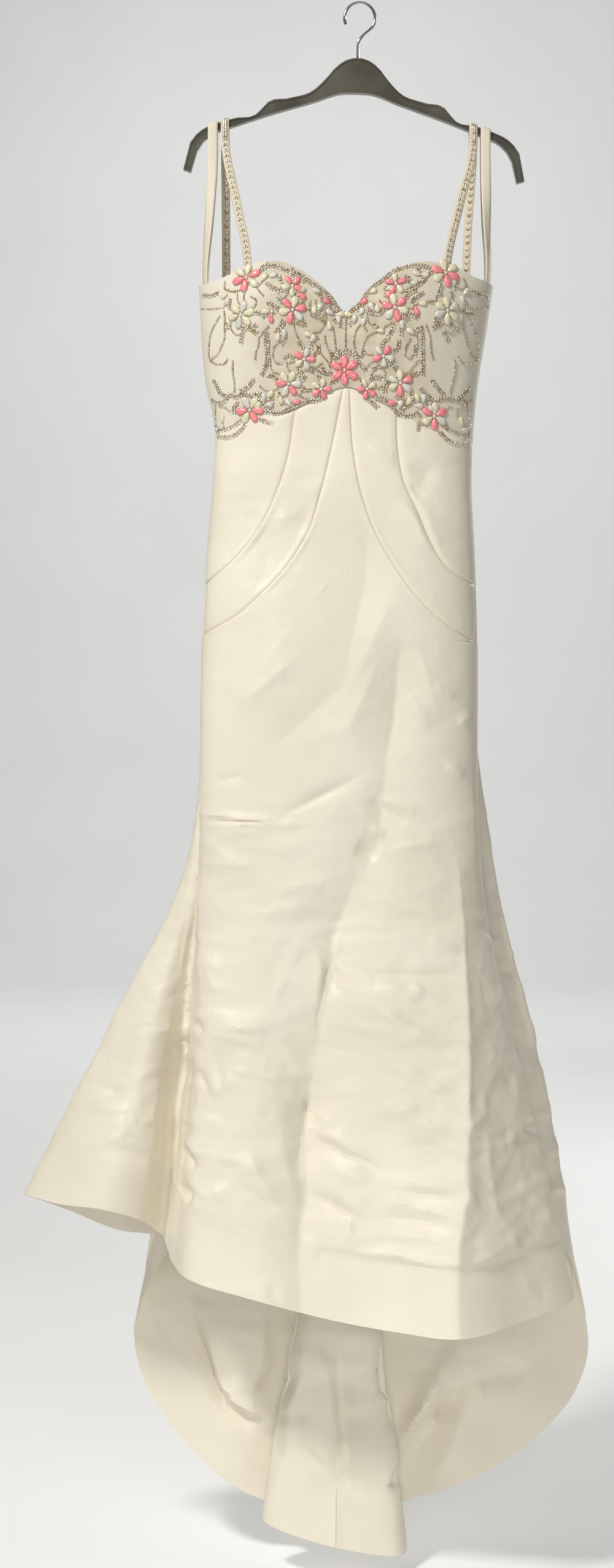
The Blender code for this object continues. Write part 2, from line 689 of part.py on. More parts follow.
def straps():
    """Two beaded straps and two plain tapes, each over an arm of the hanger."""
    depth = SATIN_WALL + LAYER_GAP + BAND_WALL / 2 + BAND_CLEAR
    for side, front_x, top_x, back_at in (("left", -147, -177, 2.62), ("right", 111, 149, 1.38)):
        front_at = float(front_around(front_x, -368.0))
        front_neck = float(edge_height(NECKLINE, np.array([front_at]))[0])
        route, widthways = over_arm(top_x, STRAP_WIDTH / 2, 24.0, 1.2)
        for at, neck, end in ((front_at, front_neck, 0), (back_at, back_neck(back_at), -1)):
            low, low_way = inside_place(at, neck - STRAP_BELOW, depth)
            high, high_way = inside_place(at, neck + BAND_WALL * 2, depth + BAND_CLEAR)
            hung = np.array(route[end])
            middle = high + (hung - high) * 0.5
            steps = [low, high, middle]
            ways = [low_way, high_way, (high_way + np.array(widthways[end])) / 2]
            if end == 0:
                route, widthways = steps + list(route), ways + list(widthways)
            else:
                route, widthways = list(route) + steps[::-1], list(widthways) + ways[::-1]
        band("strap_" + side, route, widthways, STRAP_WIDTH, "strap")
    for side, seam_at, top_x in (("left", -1.0, -193), ("right", 1.0, 165)):
        route, widthways = over_arm(top_x, TAPE_WIDTH / 2, 40.0, 1.6)
        for end, at in ((0, seam_at * (1 - TAPE_ASIDE)), (-1, seam_at * (1 + TAPE_ASIDE))):
            foot, foot_way = inside_place(at, TAPE_FOOT, depth + TAPE_CLEAR)
            neck, neck_way = inside_place(at, TAPE_NECK, depth + TAPE_CLEAR)
            middle = (neck + np.array(route[end])) / 2
            steps = [foot, neck, middle]
            ways = [foot_way, neck_way, (neck_way + np.array(widthways[end])) / 2]
            if end == 0:
                route, widthways = steps + list(route), ways + list(widthways)
            else:
                route, widthways = list(route) + steps[::-1], list(widthways) + ways[::-1]
        band("hanger_tape_" + side, route, widthways, TAPE_WIDTH, "tape")


def hanger():
    """The hanger's arms: a flat bar with rounded tips and sunk faces inside a raised rim."""
    share = np.linspace(0, 1, HANGER_STATIONS)
    top_out = share * HANGER_TOP["out"][-1]
    low_out = share * HANGER_LOW["out"][-1]
    top = np.stack([top_out, smooth(top_out, HANGER_TOP["out"], HANGER_TOP["z"])], axis=1)
    low = np.stack([low_out, smooth(low_out, HANGER_LOW["out"], HANGER_LOW["z"])], axis=1)
    top = np.concatenate((top[:0:-1] * (-1, 1), top))
    low = np.concatenate((low[:0:-1] * (-1, 1), low))
    half = HANGER_THICK / 2
    sunk = half - HANGER_RECESS
    rim = HANGER_RIM
    bevel = rim + 0.6
    profile = (("top", 0.0, -half), ("top", rim, -half), ("top", bevel, -sunk), ("low", bevel, -sunk),
               ("low", rim, -half), ("low", 0.0, -half), ("low", 0.0, half), ("low", rim, half),
               ("low", bevel, sunk), ("top", bevel, sunk), ("top", rim, half), ("top", 0.0, half))
    points = []
    for upper, lower in zip(top, low):
        across = unit(lower - upper)
        for edge, inwards, y in profile:
            place = upper + across * inwards if edge == "top" else lower - across * inwards
            x, z = tilted(*place)
            points.append((x, y, z))
    count = len(profile)
    faces = [tuple(range(count)), tuple(range(len(points) - 1, len(points) - 1 - count, -1))]
    for j in range(len(top) - 1):
        for k in range(count):
            n = (k + 1) % count
            faces.append((count * j + k, count * j + n, count * (j + 1) + n, count * (j + 1) + k))
    return solid("hanger_body", points, faces, "hanger")


def hook():
    """A bent wire: up from the hanger, out to the right, around over the top and down on the left."""
    centre = HOOK_WIRE - HOOK_RADIUS
    foot_x, foot_z = HOOK_FOOT
    stops = [(foot_x, foot_z), (foot_x, foot_z + 12), (-1.5, -49), (3.5, -42)]
    for degrees in range(-50, 206, 15):
        angle = math.radians(degrees)
        stops.append((HOOK_RADIUS * math.cos(angle), centre + HOOK_RADIUS * math.sin(angle)))
    curve = bpy.data.curves.new("hanger_hook_line", "CURVE")
    curve.dimensions = "3D"
    curve.bevel_depth = HOOK_WIRE * MM
    curve.bevel_resolution = 2
    curve.use_fill_caps = True
    route = np.array(stops, float)
    walk = np.concatenate(([0.0], np.cumsum(np.hypot(*np.diff(route, axis=0).T))))
    at = np.linspace(0, walk[-1], HOOK_STATIONS)
    spline = curve.splines.new("POLY")
    spline.points.add(len(at) - 1)
    for point, x, z in zip(spline.points, smooth(at, walk, route[:, 0]), smooth(at, walk, route[:, 1])):
        point.co = (x * MM, 0, z * MM, 1)
    curve.materials.append(finish("chrome", "hanger_hook"))
    piece = bpy.data.objects.new("hanger_hook", curve)
    bpy.context.scene.collection.objects.link(piece)
    return piece


def plate(name, outline, hole, depth, kind):
    """An outline (x, z) with a hole of as many corners, between two depths."""
    count = len(outline)
    points = [(x, y, z) for ring in (outline, hole) for y in depth for x, z in ring]
    faces = []
    for k in range(count):
        n = (k + 1) % count
        for base in (0, 2 * count):
            faces.append((base + k, base + n, base + count + n, base + count + k))
        for base in (0, count):
            faces.append((base + k, base + n, 2 * count + base + n, 2 * count + base + k))
    return solid(name, points, faces, kind)


def zip_fastening():
    """The slider at the top of the zip, with its bridge, and the pull tab that hangs from it."""
    seat = gown(np.array([2.0]), np.array([ZIP_TOP]))[0]
    width, thick, tall = SLIDER_SIZE
    corner = (seat[0], seat[1] + LAYER_GAP + 0.2, seat[2] - tall / 2)
    xs = [-width / 2, -BRIDGE_WIDTH / 2, BRIDGE_WIDTH / 2, width / 2]
    hole_out = thick + BRIDGE_RISE - BRIDGE_BAR
    ys = [0, thick, hole_out, thick + BRIDGE_RISE]
    low, high = (tall - BRIDGE_SPAN) / 2, (tall + BRIDGE_SPAN) / 2
    zs = [0, low, low + BRIDGE_BAR, high - BRIDGE_BAR, high, tall]
    base = {(i, 0, k) for i in range(3) for k in range(5)}
    posts = {(1, 1, 1), (1, 1, 3)}
    bar = {(1, 2, 1), (1, 2, 2), (1, 2, 3)}
    cells("zip_slider", xs, ys, zs, base | posts | bar, corner, "zip")
    axis = (seat[0], corner[1] + (thick + hole_out) / 2, seat[2])
    pull(axis, (hole_out - thick) / 2 - LAYER_GAP)


def cells(name, xs, ys, zs, filled, corner, kind):
    """A solid from the filled boxes of a small grid, with only its outer faces."""
    numbers = {}
    points = []

    def corner_number(i, j, k):
        if (i, j, k) not in numbers:
            numbers[(i, j, k)] = len(points)
            points.append((corner[0] + xs[i], corner[1] + ys[j], corner[2] + zs[k]))
        return numbers[(i, j, k)]

    sides = (((-1, 0, 0), ((0, 0, 0), (0, 0, 1), (0, 1, 1), (0, 1, 0))),
             ((1, 0, 0), ((1, 0, 0), (1, 1, 0), (1, 1, 1), (1, 0, 1))),
             ((0, -1, 0), ((0, 0, 0), (1, 0, 0), (1, 0, 1), (0, 0, 1))),
             ((0, 1, 0), ((0, 1, 0), (0, 1, 1), (1, 1, 1), (1, 1, 0))),
             ((0, 0, -1), ((0, 0, 0), (0, 1, 0), (1, 1, 0), (1, 0, 0))),
             ((0, 0, 1), ((0, 0, 1), (1, 0, 1), (1, 1, 1), (0, 1, 1))))
    faces = []
    for cell in sorted(filled):
        for step, corners in sides:
            beside = tuple(c + s for c, s in zip(cell, step))
            if beside not in filled:
                faces.append(tuple(corner_number(*np.add(cell, shift)) for shift in corners))
    return solid(name, points, faces, kind)


def pull(axis, bar_half):
    """The pull tab: a bar through the bridge, a rail on each side of it and a tab below."""
    x, y, z = axis
    rail_in = BRIDGE_WIDTH / 2 + LAYER_GAP
    rail_out = rail_in + PULL_RAIL
    outline = []
    hole = []
    for k in range(PULL_CORNERS):
        angle = 2 * math.pi * (k + 0.5) / PULL_CORNERS
        side = math.copysign(abs(math.cos(angle)) ** PULL_SQUARE, math.cos(angle))
        rise = math.copysign(abs(math.sin(angle)) ** PULL_SQUARE, math.sin(angle))
        flare = 1.0 + PULL_FLARE * max(0.0, -rise)
        outline.append((x + rail_out * flare * side,
                        z + (bar_half - PULL_LENGTH) / 2 + (bar_half + PULL_LENGTH) / 2 * rise))
        hole.append((x + rail_in * side,
                     z - (bar_half + PULL_WINDOW) / 2 + (PULL_WINDOW - bar_half) / 2 * rise))
    plate("zip_pull", outline, hole, (y - bar_half, y + bar_half), "zip")


def on_net(x, z, lift):
    """A place in front of the net, straight out from where it is seen."""
    around = front_around(np.array([x]), np.array([z]))
    height = np.array([z])
    out = LAYER_GAP + NET_WALL + BEAD_LIFT + lift
    return (gown(around, height) + outward(around, height) * out)[0]


def flower(name, x, z, reach, petals, turn):
    """A flower of petal beads as one low solid that follows the net below it."""
    columns = int(petals) * PETAL_COLUMNS
    rings = ((0.34, 0.62), (0.70, 0.85), (1.0, 0.22), (1.0, 0.0))
    points = [on_net(x, z, BEAD_HEIGHT)]
    for share, rise in rings:
        for k in range(columns):
            angle = 2 * math.pi * k / columns
            lobe = abs(math.cos((angle - math.radians(turn)) * petals / 2)) ** 0.8
            radius = share * reach * (PETAL_VALLEY + (1 - PETAL_VALLEY) * lobe)
            points.append(on_net(x + radius * math.cos(angle), z + radius * math.sin(angle),
                                 BEAD_HEIGHT * rise))
    points.append(on_net(x, z, 0.0))
    low = 1 + (len(rings) - 1) * columns
    faces = []
    for k in range(columns):
        n = (k + 1) % columns
        faces.append((0, 1 + k, 1 + n))
        for r in range(len(rings) - 1):
            a, b = 1 + r * columns, 1 + (r + 1) * columns
            faces.append((a + k, b + k, b + n, a + n))
        faces.append((low + k, len(points) - 1, low + n))
    return solid(name, points, faces, "petal")


def main():
    """Builds every piece of the gown and its hanger."""
    for item in list(bpy.data.objects):
        bpy.data.objects.remove(item, do_unlink=True)
    bodice()
    skirt()
    straps()
    hanger()
    hook()
    zip_fastening()
    for i, name in enumerate(FLOWER_NAMES):
        flower(name, *(FLOWERS[column][i] for column in FLOWERS))


main()
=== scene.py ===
# %% [markdown]
# # A mermaid gown on its hanger
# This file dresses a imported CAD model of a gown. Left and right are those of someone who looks
# at the front. The tables are in millimetres, because a dressmaker thinks in them, and one
# factor turns them into metres at the end.

# %% Load the frame
import math

import bpy
import numpy as np
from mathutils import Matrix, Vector


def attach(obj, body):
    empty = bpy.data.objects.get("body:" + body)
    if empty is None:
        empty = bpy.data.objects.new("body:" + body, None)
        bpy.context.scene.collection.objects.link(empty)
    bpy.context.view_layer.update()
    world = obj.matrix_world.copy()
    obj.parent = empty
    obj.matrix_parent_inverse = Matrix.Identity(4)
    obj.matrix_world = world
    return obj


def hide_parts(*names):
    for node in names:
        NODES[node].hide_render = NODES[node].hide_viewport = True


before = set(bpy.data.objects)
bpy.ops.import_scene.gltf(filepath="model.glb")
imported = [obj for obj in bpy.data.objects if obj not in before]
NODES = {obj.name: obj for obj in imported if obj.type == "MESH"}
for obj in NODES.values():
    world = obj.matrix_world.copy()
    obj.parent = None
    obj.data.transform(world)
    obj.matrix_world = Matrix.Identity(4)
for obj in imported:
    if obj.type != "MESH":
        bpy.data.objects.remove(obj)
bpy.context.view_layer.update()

MM = 0.001

# %% [markdown]
# ## Camera, floor and light
# The gown hangs at eye height and the camera stands 3.2 m in front of it, level with its middle.
# A long lens would flatten the skirt and a short one would make the hem bulge, so the lens is
# the one that makes the hanger as wide in the picture as it should be. The key light comes from
# the upper left, so that each fold has a lit and a shaded plane. A weaker one from the front
# keeps the shaded planes open, and a narrow low one lights the inside of the train. Two lights
# reach the floor and the backdrop, and one from behind shows the plain back.
# The floor runs up far behind the gown in one curve, so that there is no line behind it and
# room is left to look at the gown from behind.

# %% Camera and floor
CAMERA_AWAY = 3.2
CAMERA_X = -0.0694
CAMERA_Z = -1.025
LENS = 55.9
FLOOR_Z = -2.085

camera_data = bpy.data.cameras.new("camera")
camera_data.sensor_width = 36.0
camera_data.lens = LENS
camera_data.clip_end = 100.0
camera = bpy.data.objects.new("camera", camera_data)
camera.location = (CAMERA_X, -CAMERA_AWAY, CAMERA_Z)
camera.rotation_euler = (math.radians(90), 0, 0)
bpy.context.scene.collection.objects.link(camera)
bpy.context.scene.camera = camera


def mesh_object(name, points, faces):
    """A smooth mesh object from points in metres."""
    mesh = bpy.data.meshes.new(name)
    mesh.from_pydata(np.asarray(points, float).tolist(), [], faces)
    mesh.shade_smooth()
    piece = bpy.data.objects.new(name, mesh)
    bpy.context.scene.collection.objects.link(piece)
    return piece


def backdrop(half_width=16.0, front=-14.0, back=12.5, bend=3.0, top=10.0, steps=12):
    """A floor that curves up into a wall."""
    profile = [(front, FLOOR_Z), (back - bend, FLOOR_Z)]
    for k in range(1, steps + 1):
        angle = math.radians(90 * k / steps)
        profile.append((back - bend + bend * math.sin(angle), FLOOR_Z + bend * (1 - math.cos(angle))))
    profile.append((back, top))
    points = [(x, y, z) for y, z in profile for x in (-half_width, half_width)]
    faces = [(2 * k, 2 * k + 1, 2 * k + 3, 2 * k + 2) for k in range(len(profile) - 1)]
    return mesh_object("backdrop", points, faces)


floor = backdrop()
print("floor at", FLOOR_Z)

# %% Light
def soft_light(name, place, aim, size, power, colour=(1.0, 1.0, 1.0)):
    """A square area light that looks at a point."""
    data = bpy.data.lights.new(name, "AREA")
    data.size = size
    data.energy = power
    data.color = colour
    lamp = bpy.data.objects.new(name, data)
    lamp.location = place
    lamp.rotation_euler = (Vector(aim) - Vector(place)).to_track_quat("-Z", "Y").to_euler()
    bpy.context.scene.collection.objects.link(lamp)
    return lamp


WORLD_STRENGTH = 0.14
LOW_SPREAD = 38
soft_light("key", (-1.75, -2.5, 1.7), (-0.05, 0.0, -1.3), 0.5, 128, (1.0, 0.985, 0.95))
soft_light("front", (0.5, -3.4, -0.5), (0.0, 0.0, -1.2), 0.8, 19)
low = soft_light("low", (-0.15, -2.9, -1.35), (0.0, 0.1, -2.2), 0.5, 1.0)
low.data.spread = math.radians(LOW_SPREAD)
soft_light("backdrop_light", (0.0, 7.0, 3.5), (0.0, 12.0, -0.5), 5.0, 230)
soft_light("floor_light", (0.0, 3.2, 3.6), (0.0, 3.6, -2.1), 4.0, 95)
soft_light("back", (2.6, 3.6, 1.0), (0.0, 0.0, -1.1), 1.0, 90)

world = bpy.data.worlds.new("room")
world.use_nodes = True
world.node_tree.nodes["Background"].inputs["Color"].default_value = (1.0, 0.99, 0.97, 1.0)
world.node_tree.nodes["Background"].inputs["Strength"].default_value = WORLD_STRENGTH
bpy.context.scene.world = world
bpy.context.scene.view_settings.view_transform = "Standard"
bpy.context.scene.view_settings.look = "None"

# %% [markdown]
# ## Finishes
# Each finish is one Principled shader with a few nodes for what the real surface shows. The
# satin is stiff and close-woven: it has a soft sheen, a weave too fine to count and very small
# dents, so noise drives its bump and shifts its colour a little. The net has cells two
# millimetres wide. The petals are glazed, the seed beads are metal, and the hanger is moulded.

# %% A helper for finishes
def finish(name, colour, roughness, metallic=0.0, **sockets):
    """A material with one Principled shader, and its node tree."""
    material = bpy.data.materials.new(name)
    material.use_nodes = True
    shader = material.node_tree.nodes["Principled BSDF"]
    shader.inputs["Base Color"].default_value = (*colour, 1.0)
    shader.inputs["Roughness"].default_value = roughness
    shader.inputs["Metallic"].default_value = metallic
    for socket, value in sockets.items():
        shader.inputs[socket.replace("_", " ")].default_value = value
    material.diffuse_color = (*colour, 1.0)
    return material


def add(material, kind, **values):
    """A node in a material's tree, with its settings and unlinked inputs."""
    node = material.node_tree.nodes.new(kind)
    for key, value in values.items():
        if hasattr(node, key):
            setattr(node, key, value)
        else:
            node.inputs[key.replace("_", " ")].default_value = value
    return node


def link(material, source, target):
    """Joins an output socket to an input socket."""
    material.node_tree.links.new(source, target)


TONE_EDGES = (0.35, 0.65)


def two_tones(material, light, dark, scale, detail=3.0):
    """Lets the colour wander between two tones, in patches of about 1 / scale metres."""
    shader = material.node_tree.nodes["Principled BSDF"]
    place = add(material, "ShaderNodeTexCoord")
    noise = add(material, "ShaderNodeTexNoise", Scale=scale, Detail=detail)
    ramp = add(material, "ShaderNodeValToRGB")
    for stop, tone, edge in zip(ramp.color_ramp.elements, (dark, light), TONE_EDGES):
        stop.color = (*tone, 1.0)
        stop.position = edge
    link(material, place.outputs["Object"], noise.inputs["Vector"])
    link(material, noise.outputs["Fac"], ramp.inputs["Fac"])
    link(material, ramp.outputs["Color"], shader.inputs["Base Color"])
    return place, ramp


def add_bump(material, place, layers):
    """Adds bumps from noise, largest first: scale, strength and depth in metres."""
    below = None
    for scale, strength, depth in layers:
        noise = add(material, "ShaderNodeTexNoise", Scale=scale, Detail=2.0)
        bump = add(material, "ShaderNodeBump", Strength=strength, Distance=depth)
        link(material, place.outputs["Object"], noise.inputs["Vector"])
        link(material, noise.outputs["Fac"], bump.inputs["Height"])
        if below is not None:
            link(material, below.outputs["Normal"], bump.inputs["Normal"])
        below = bump
    return below


# %% Cloth
# At scale 1 the wave texture repeats every 0.314 units, so this over the pitch is its scale
THREAD_SCALE = 0.314
THREAD_DEPTH = 0.0002
DENTS = ((45.0, 0.22, 0.004), (160.0, 0.16, 0.0015))


def weave_bump(material, place, below, pitch, strength):
    """Crossed threads as a fine bump on top of the others."""
    shader = material.node_tree.nodes["Principled BSDF"]
    for turn in ("X", "Z"):
        wave = add(material, "ShaderNodeTexWave", bands_direction=turn, Scale=THREAD_SCALE / pitch)
        bump = add(material, "ShaderNodeBump", Strength=strength, Distance=THREAD_DEPTH)
        link(material, place.outputs["Object"], wave.inputs["Vector"])
        link(material, wave.outputs["Fac"], bump.inputs["Height"])
        link(material, below.outputs["Normal"], bump.inputs["Normal"])
        below = bump
    link(material, below.outputs["Normal"], shader.inputs["Normal"])


def cloth_finish(name, light, dark, roughness, pitch, sheen):
    """A close-woven cloth with wandering tone, small dents and crossed threads."""
    material = finish(name, light, roughness, Sheen_Weight=sheen, Sheen_Roughness=0.4,
                      Specular_IOR_Level=0.32)
    place, _ = two_tones(material, light, dark, 7.0)
    dents = add_bump(material, place, DENTS)
    weave_bump(material, place, dents, pitch, 0.12)
    return material


satin = cloth_finish("satin", (0.81, 0.752, 0.625), (0.755, 0.697, 0.57), 0.42, 0.0007, 0.1)
tape_cloth = cloth_finish("tape", (0.72, 0.66, 0.54), (0.66, 0.60, 0.48), 0.6, 0.0008, 0.2)
strap_cloth = cloth_finish("strap", (0.68, 0.61, 0.47), (0.60, 0.53, 0.40), 0.55, 0.0008, 0.2)
print("cloth", satin.name, tape_cloth.name, strap_cloth.name)

# %% The net
# It is paler at the sides: the change runs from 75 to 150 mm away from its middle, at x = -20 mm
NET_MIDDLE = 0.02
NET_TURNS = {"From_Min": 0.075, "From_Max": 0.15}
net_cloth = finish("bead_net", (0.60, 0.53, 0.41), 0.62, Sheen_Weight=0.15)
net_shader = net_cloth.node_tree.nodes["Principled BSDF"]
net_place, net_ramp = two_tones(net_cloth, (0.64, 0.57, 0.44), (0.50, 0.435, 0.325), 30.0)
apart = add(net_cloth, "ShaderNodeSeparateXYZ")
from_middle = add(net_cloth, "ShaderNodeMath", operation="ADD")
from_middle.inputs[1].default_value = NET_MIDDLE
either_side = add(net_cloth, "ShaderNodeMath", operation="ABSOLUTE")
to_sides = add(net_cloth, "ShaderNodeMapRange", **NET_TURNS)
paler = add(net_cloth, "ShaderNodeMix", data_type="RGBA")
paler.inputs[7].default_value = (0.70, 0.655, 0.54, 1.0)
link(net_cloth, net_place.outputs["Object"], apart.inputs["Vector"])
link(net_cloth, apart.outputs["X"], from_middle.inputs[0])
link(net_cloth, from_middle.outputs["Value"], either_side.inputs[0])
link(net_cloth, either_side.outputs["Value"], to_sides.inputs["Value"])
link(net_cloth, to_sides.outputs["Result"], paler.inputs["Factor"])
link(net_cloth, net_ramp.outputs["Color"], paler.inputs[6])
link(net_cloth, paler.outputs[2], net_shader.inputs["Base Color"])
cells = add(net_cloth, "ShaderNodeTexVoronoi", feature="DISTANCE_TO_EDGE", Scale=420.0)
cell_bump = add(net_cloth, "ShaderNodeBump", Strength=0.45, Distance=0.0006, invert=True)
link(net_cloth, net_place.outputs["Object"], cells.inputs["Vector"])
link(net_cloth, cells.outputs["Distance"], cell_bump.inputs["Height"])
link(net_cloth, cell_bump.outputs["Normal"], net_shader.inputs["Normal"])
print("the net's finish has", len(net_cloth.node_tree.nodes), "nodes")


# %% Beads, hanger, zip and floor
def glazed(name, light, dark):
    """A petal bead: a smooth glaze over a colour that is a little uneven."""
    material = finish(name, light, 0.28, Coat_Weight=0.35, Coat_Roughness=0.12)
    two_tones(material, light, dark, 160.0)
    return material


PETAL_FINISH = {
    "pink": glazed("petal_pink", (0.87, 0.285, 0.30), (0.79, 0.215, 0.24)),
    "cream": glazed("petal_cream", (0.74, 0.70, 0.50), (0.66, 0.61, 0.42)),
    "pale": glazed("petal_pale", (0.68, 0.655, 0.575), (0.58, 0.56, 0.49)),
}
gold_bead = finish("bead_champagne", (0.62, 0.50, 0.33), 0.28, 0.6)
two_tones(gold_bead, (0.74, 0.62, 0.43), (0.36, 0.26, 0.16), 260.0)
silver_bead = finish("bead_silver", (0.80, 0.77, 0.70), 0.2, 0.65)
two_tones(silver_bead, (0.88, 0.85, 0.78), (0.52, 0.48, 0.41), 260.0)
gem = finish("gem", (0.86, 0.84, 0.80), 0.08, 0.2, Coat_Weight=0.6)
two_tones(gem, (0.92, 0.90, 0.87), (0.70, 0.66, 0.62), 400.0)

plastic = finish("hanger_plastic", (0.075, 0.07, 0.052), 0.3, Coat_Weight=0.4, Coat_Roughness=0.12)
plastic_place, _ = two_tones(plastic, (0.095, 0.09, 0.07), (0.05, 0.045, 0.032), 14.0)
plastic_bump = add_bump(plastic, plastic_place, ((900.0, 0.06, 0.0002),))
link(plastic, plastic_bump.outputs["Normal"],
     plastic.node_tree.nodes["Principled BSDF"].inputs["Normal"])
chrome = finish("chrome", (0.72, 0.72, 0.72), 0.12, 1.0)
two_tones(chrome, (0.78, 0.78, 0.77), (0.66, 0.66, 0.66), 90.0)
zip_enamel = finish("zip_enamel", (0.72, 0.68, 0.57), 0.35, Coat_Weight=0.4)
two_tones(zip_enamel, (0.74, 0.70, 0.59), (0.66, 0.62, 0.51), 200.0)
paper = finish("floor", (0.86, 0.86, 0.85), 0.8)
two_tones(paper, (0.87, 0.87, 0.86), (0.85, 0.85, 0.84), 1.5)
floor.data.materials.append(paper)
print("finishes", len(bpy.data.materials))

# %% [markdown]
# ## The shape of the gown
# A dressmaker pins cloth on a stand, and the stand here is a rule that gives a place for each
# way around the body and each height. Above the knee the gown is a row of ovals. Below it, each
# fold runs from the knee to a place on the hem, so the hem's table draws the folds. The CAD model
# follows the same rule, and so the finer cloth made here lies on it without any fitting.

# %% Smooth curves through tables
def table(columns, rows):
    """Named columns of numbers from rows written one below the other."""
    return {name: np.array([row[i] for row in rows], float)
            for i, name in enumerate(columns.split())}


def named_table(columns, rows):
    """The same, for rows that each start with a name."""
    return table(columns, [row[1:] for row in rows])


def slopes(xs, ys):
    """The slope of a smooth curve at each of its points."""
    steps = np.diff(xs)
    rises = np.diff(ys) / steps
    inner = (rises[:-1] * steps[1:] + rises[1:] * steps[:-1]) / (steps[:-1] + steps[1:])
    return np.concatenate(([rises[0]], inner, [rises[-1]]))


def steady_slopes(xs, ys):
    """Slopes that keep a rising curve rising."""
    rises = np.diff(ys) / np.diff(xs)
    inner = 2.0 * rises[:-1] * rises[1:] / (rises[:-1] + rises[1:])
    return np.concatenate(([rises[0]], inner, [rises[-1]]))


def smooth(at, xs, ys, slope_rule=slopes):
    """The height of the smooth curve through (xs, ys) at each value of at."""
    at = np.clip(np.asarray(at, float), xs[0], xs[-1])
    tangents = slope_rule(xs, ys)
    i = np.clip(np.searchsorted(xs, at, side="right") - 1, 0, len(xs) - 2)
    step = xs[i + 1] - xs[i]
    t = (at - xs[i]) / step
    return ((1 + 2 * t) * (1 - t) ** 2 * ys[i] + t * (1 - t) ** 2 * step * tangents[i]
            + t ** 2 * (3 - 2 * t) * ys[i + 1] - t ** 2 * (1 - t) * step * tangents[i + 1])


# %% The ovals of the fitted part
# Oval of the fitted part at each height: the two side edges, and how far front and back stand out
SECTIONS = table("height left right front back", (
    (-1045, -210, 155, 62, 57),
    (-960, -210, 155, 64, 58),
    (-850, -208, 155, 66, 60),
    (-720, -201, 151, 62, 56),
    (-625, -193, 147, 58, 49),
    (-560, -190, 149, 58, 46),
    (-500, -202, 155, 64, 46),
    (-432, -208, 166, 68, 46),
    (-372, -211, 175, 66, 44),
    (-320, -213, 182, 60, 40),
))

# Cups of the bodice
CUP_DEPTH = 12.0
CUP_WIDTH = 52.0
CUP_HEIGHT = 55.0
CUP_CENTRES = (-118.0, 84.0)
CUP_LEVEL = -408.0
VALLEY_DEPTH = 7.0
VALLEY_CENTRE = -18.0
VALLEY_WIDTH = 26.0
BLUNT_SIDES = 0.25


def fitted(around, height):
    """Places on the fitted part of the gown, above the knee."""
    left, right, front, back = (smooth(height, SECTIONS["height"], SECTIONS[side])
                                for side in ("left", "right", "front", "back"))
    middle = (left + right) / 2
    half = (right - left) / 2
    angle = around * math.pi / 2
    facing = np.cos(angle)
    across = np.sin(angle)
    depth = np.where(facing > 0, front, back)
    x = middle + half * across
    y = -depth * facing * (1 + BLUNT_SIDES * across ** 2)
    rise = np.exp(-((height - CUP_LEVEL) / CUP_HEIGHT) ** 2) * np.maximum(facing, 0) ** 0.5
    for centre in CUP_CENTRES:
        y = y - CUP_DEPTH * rise * np.exp(-((x - centre) / CUP_WIDTH) ** 2)
    valley = np.exp(-((x - VALLEY_CENTRE) / VALLEY_WIDTH) ** 2) * np.maximum(facing, 0)
    y = y + VALLEY_DEPTH * valley * rise
    return x, y


print("right side at knee and waist, mm:", fitted(1.0, np.array([-960.0, -560.0]))[0].round())

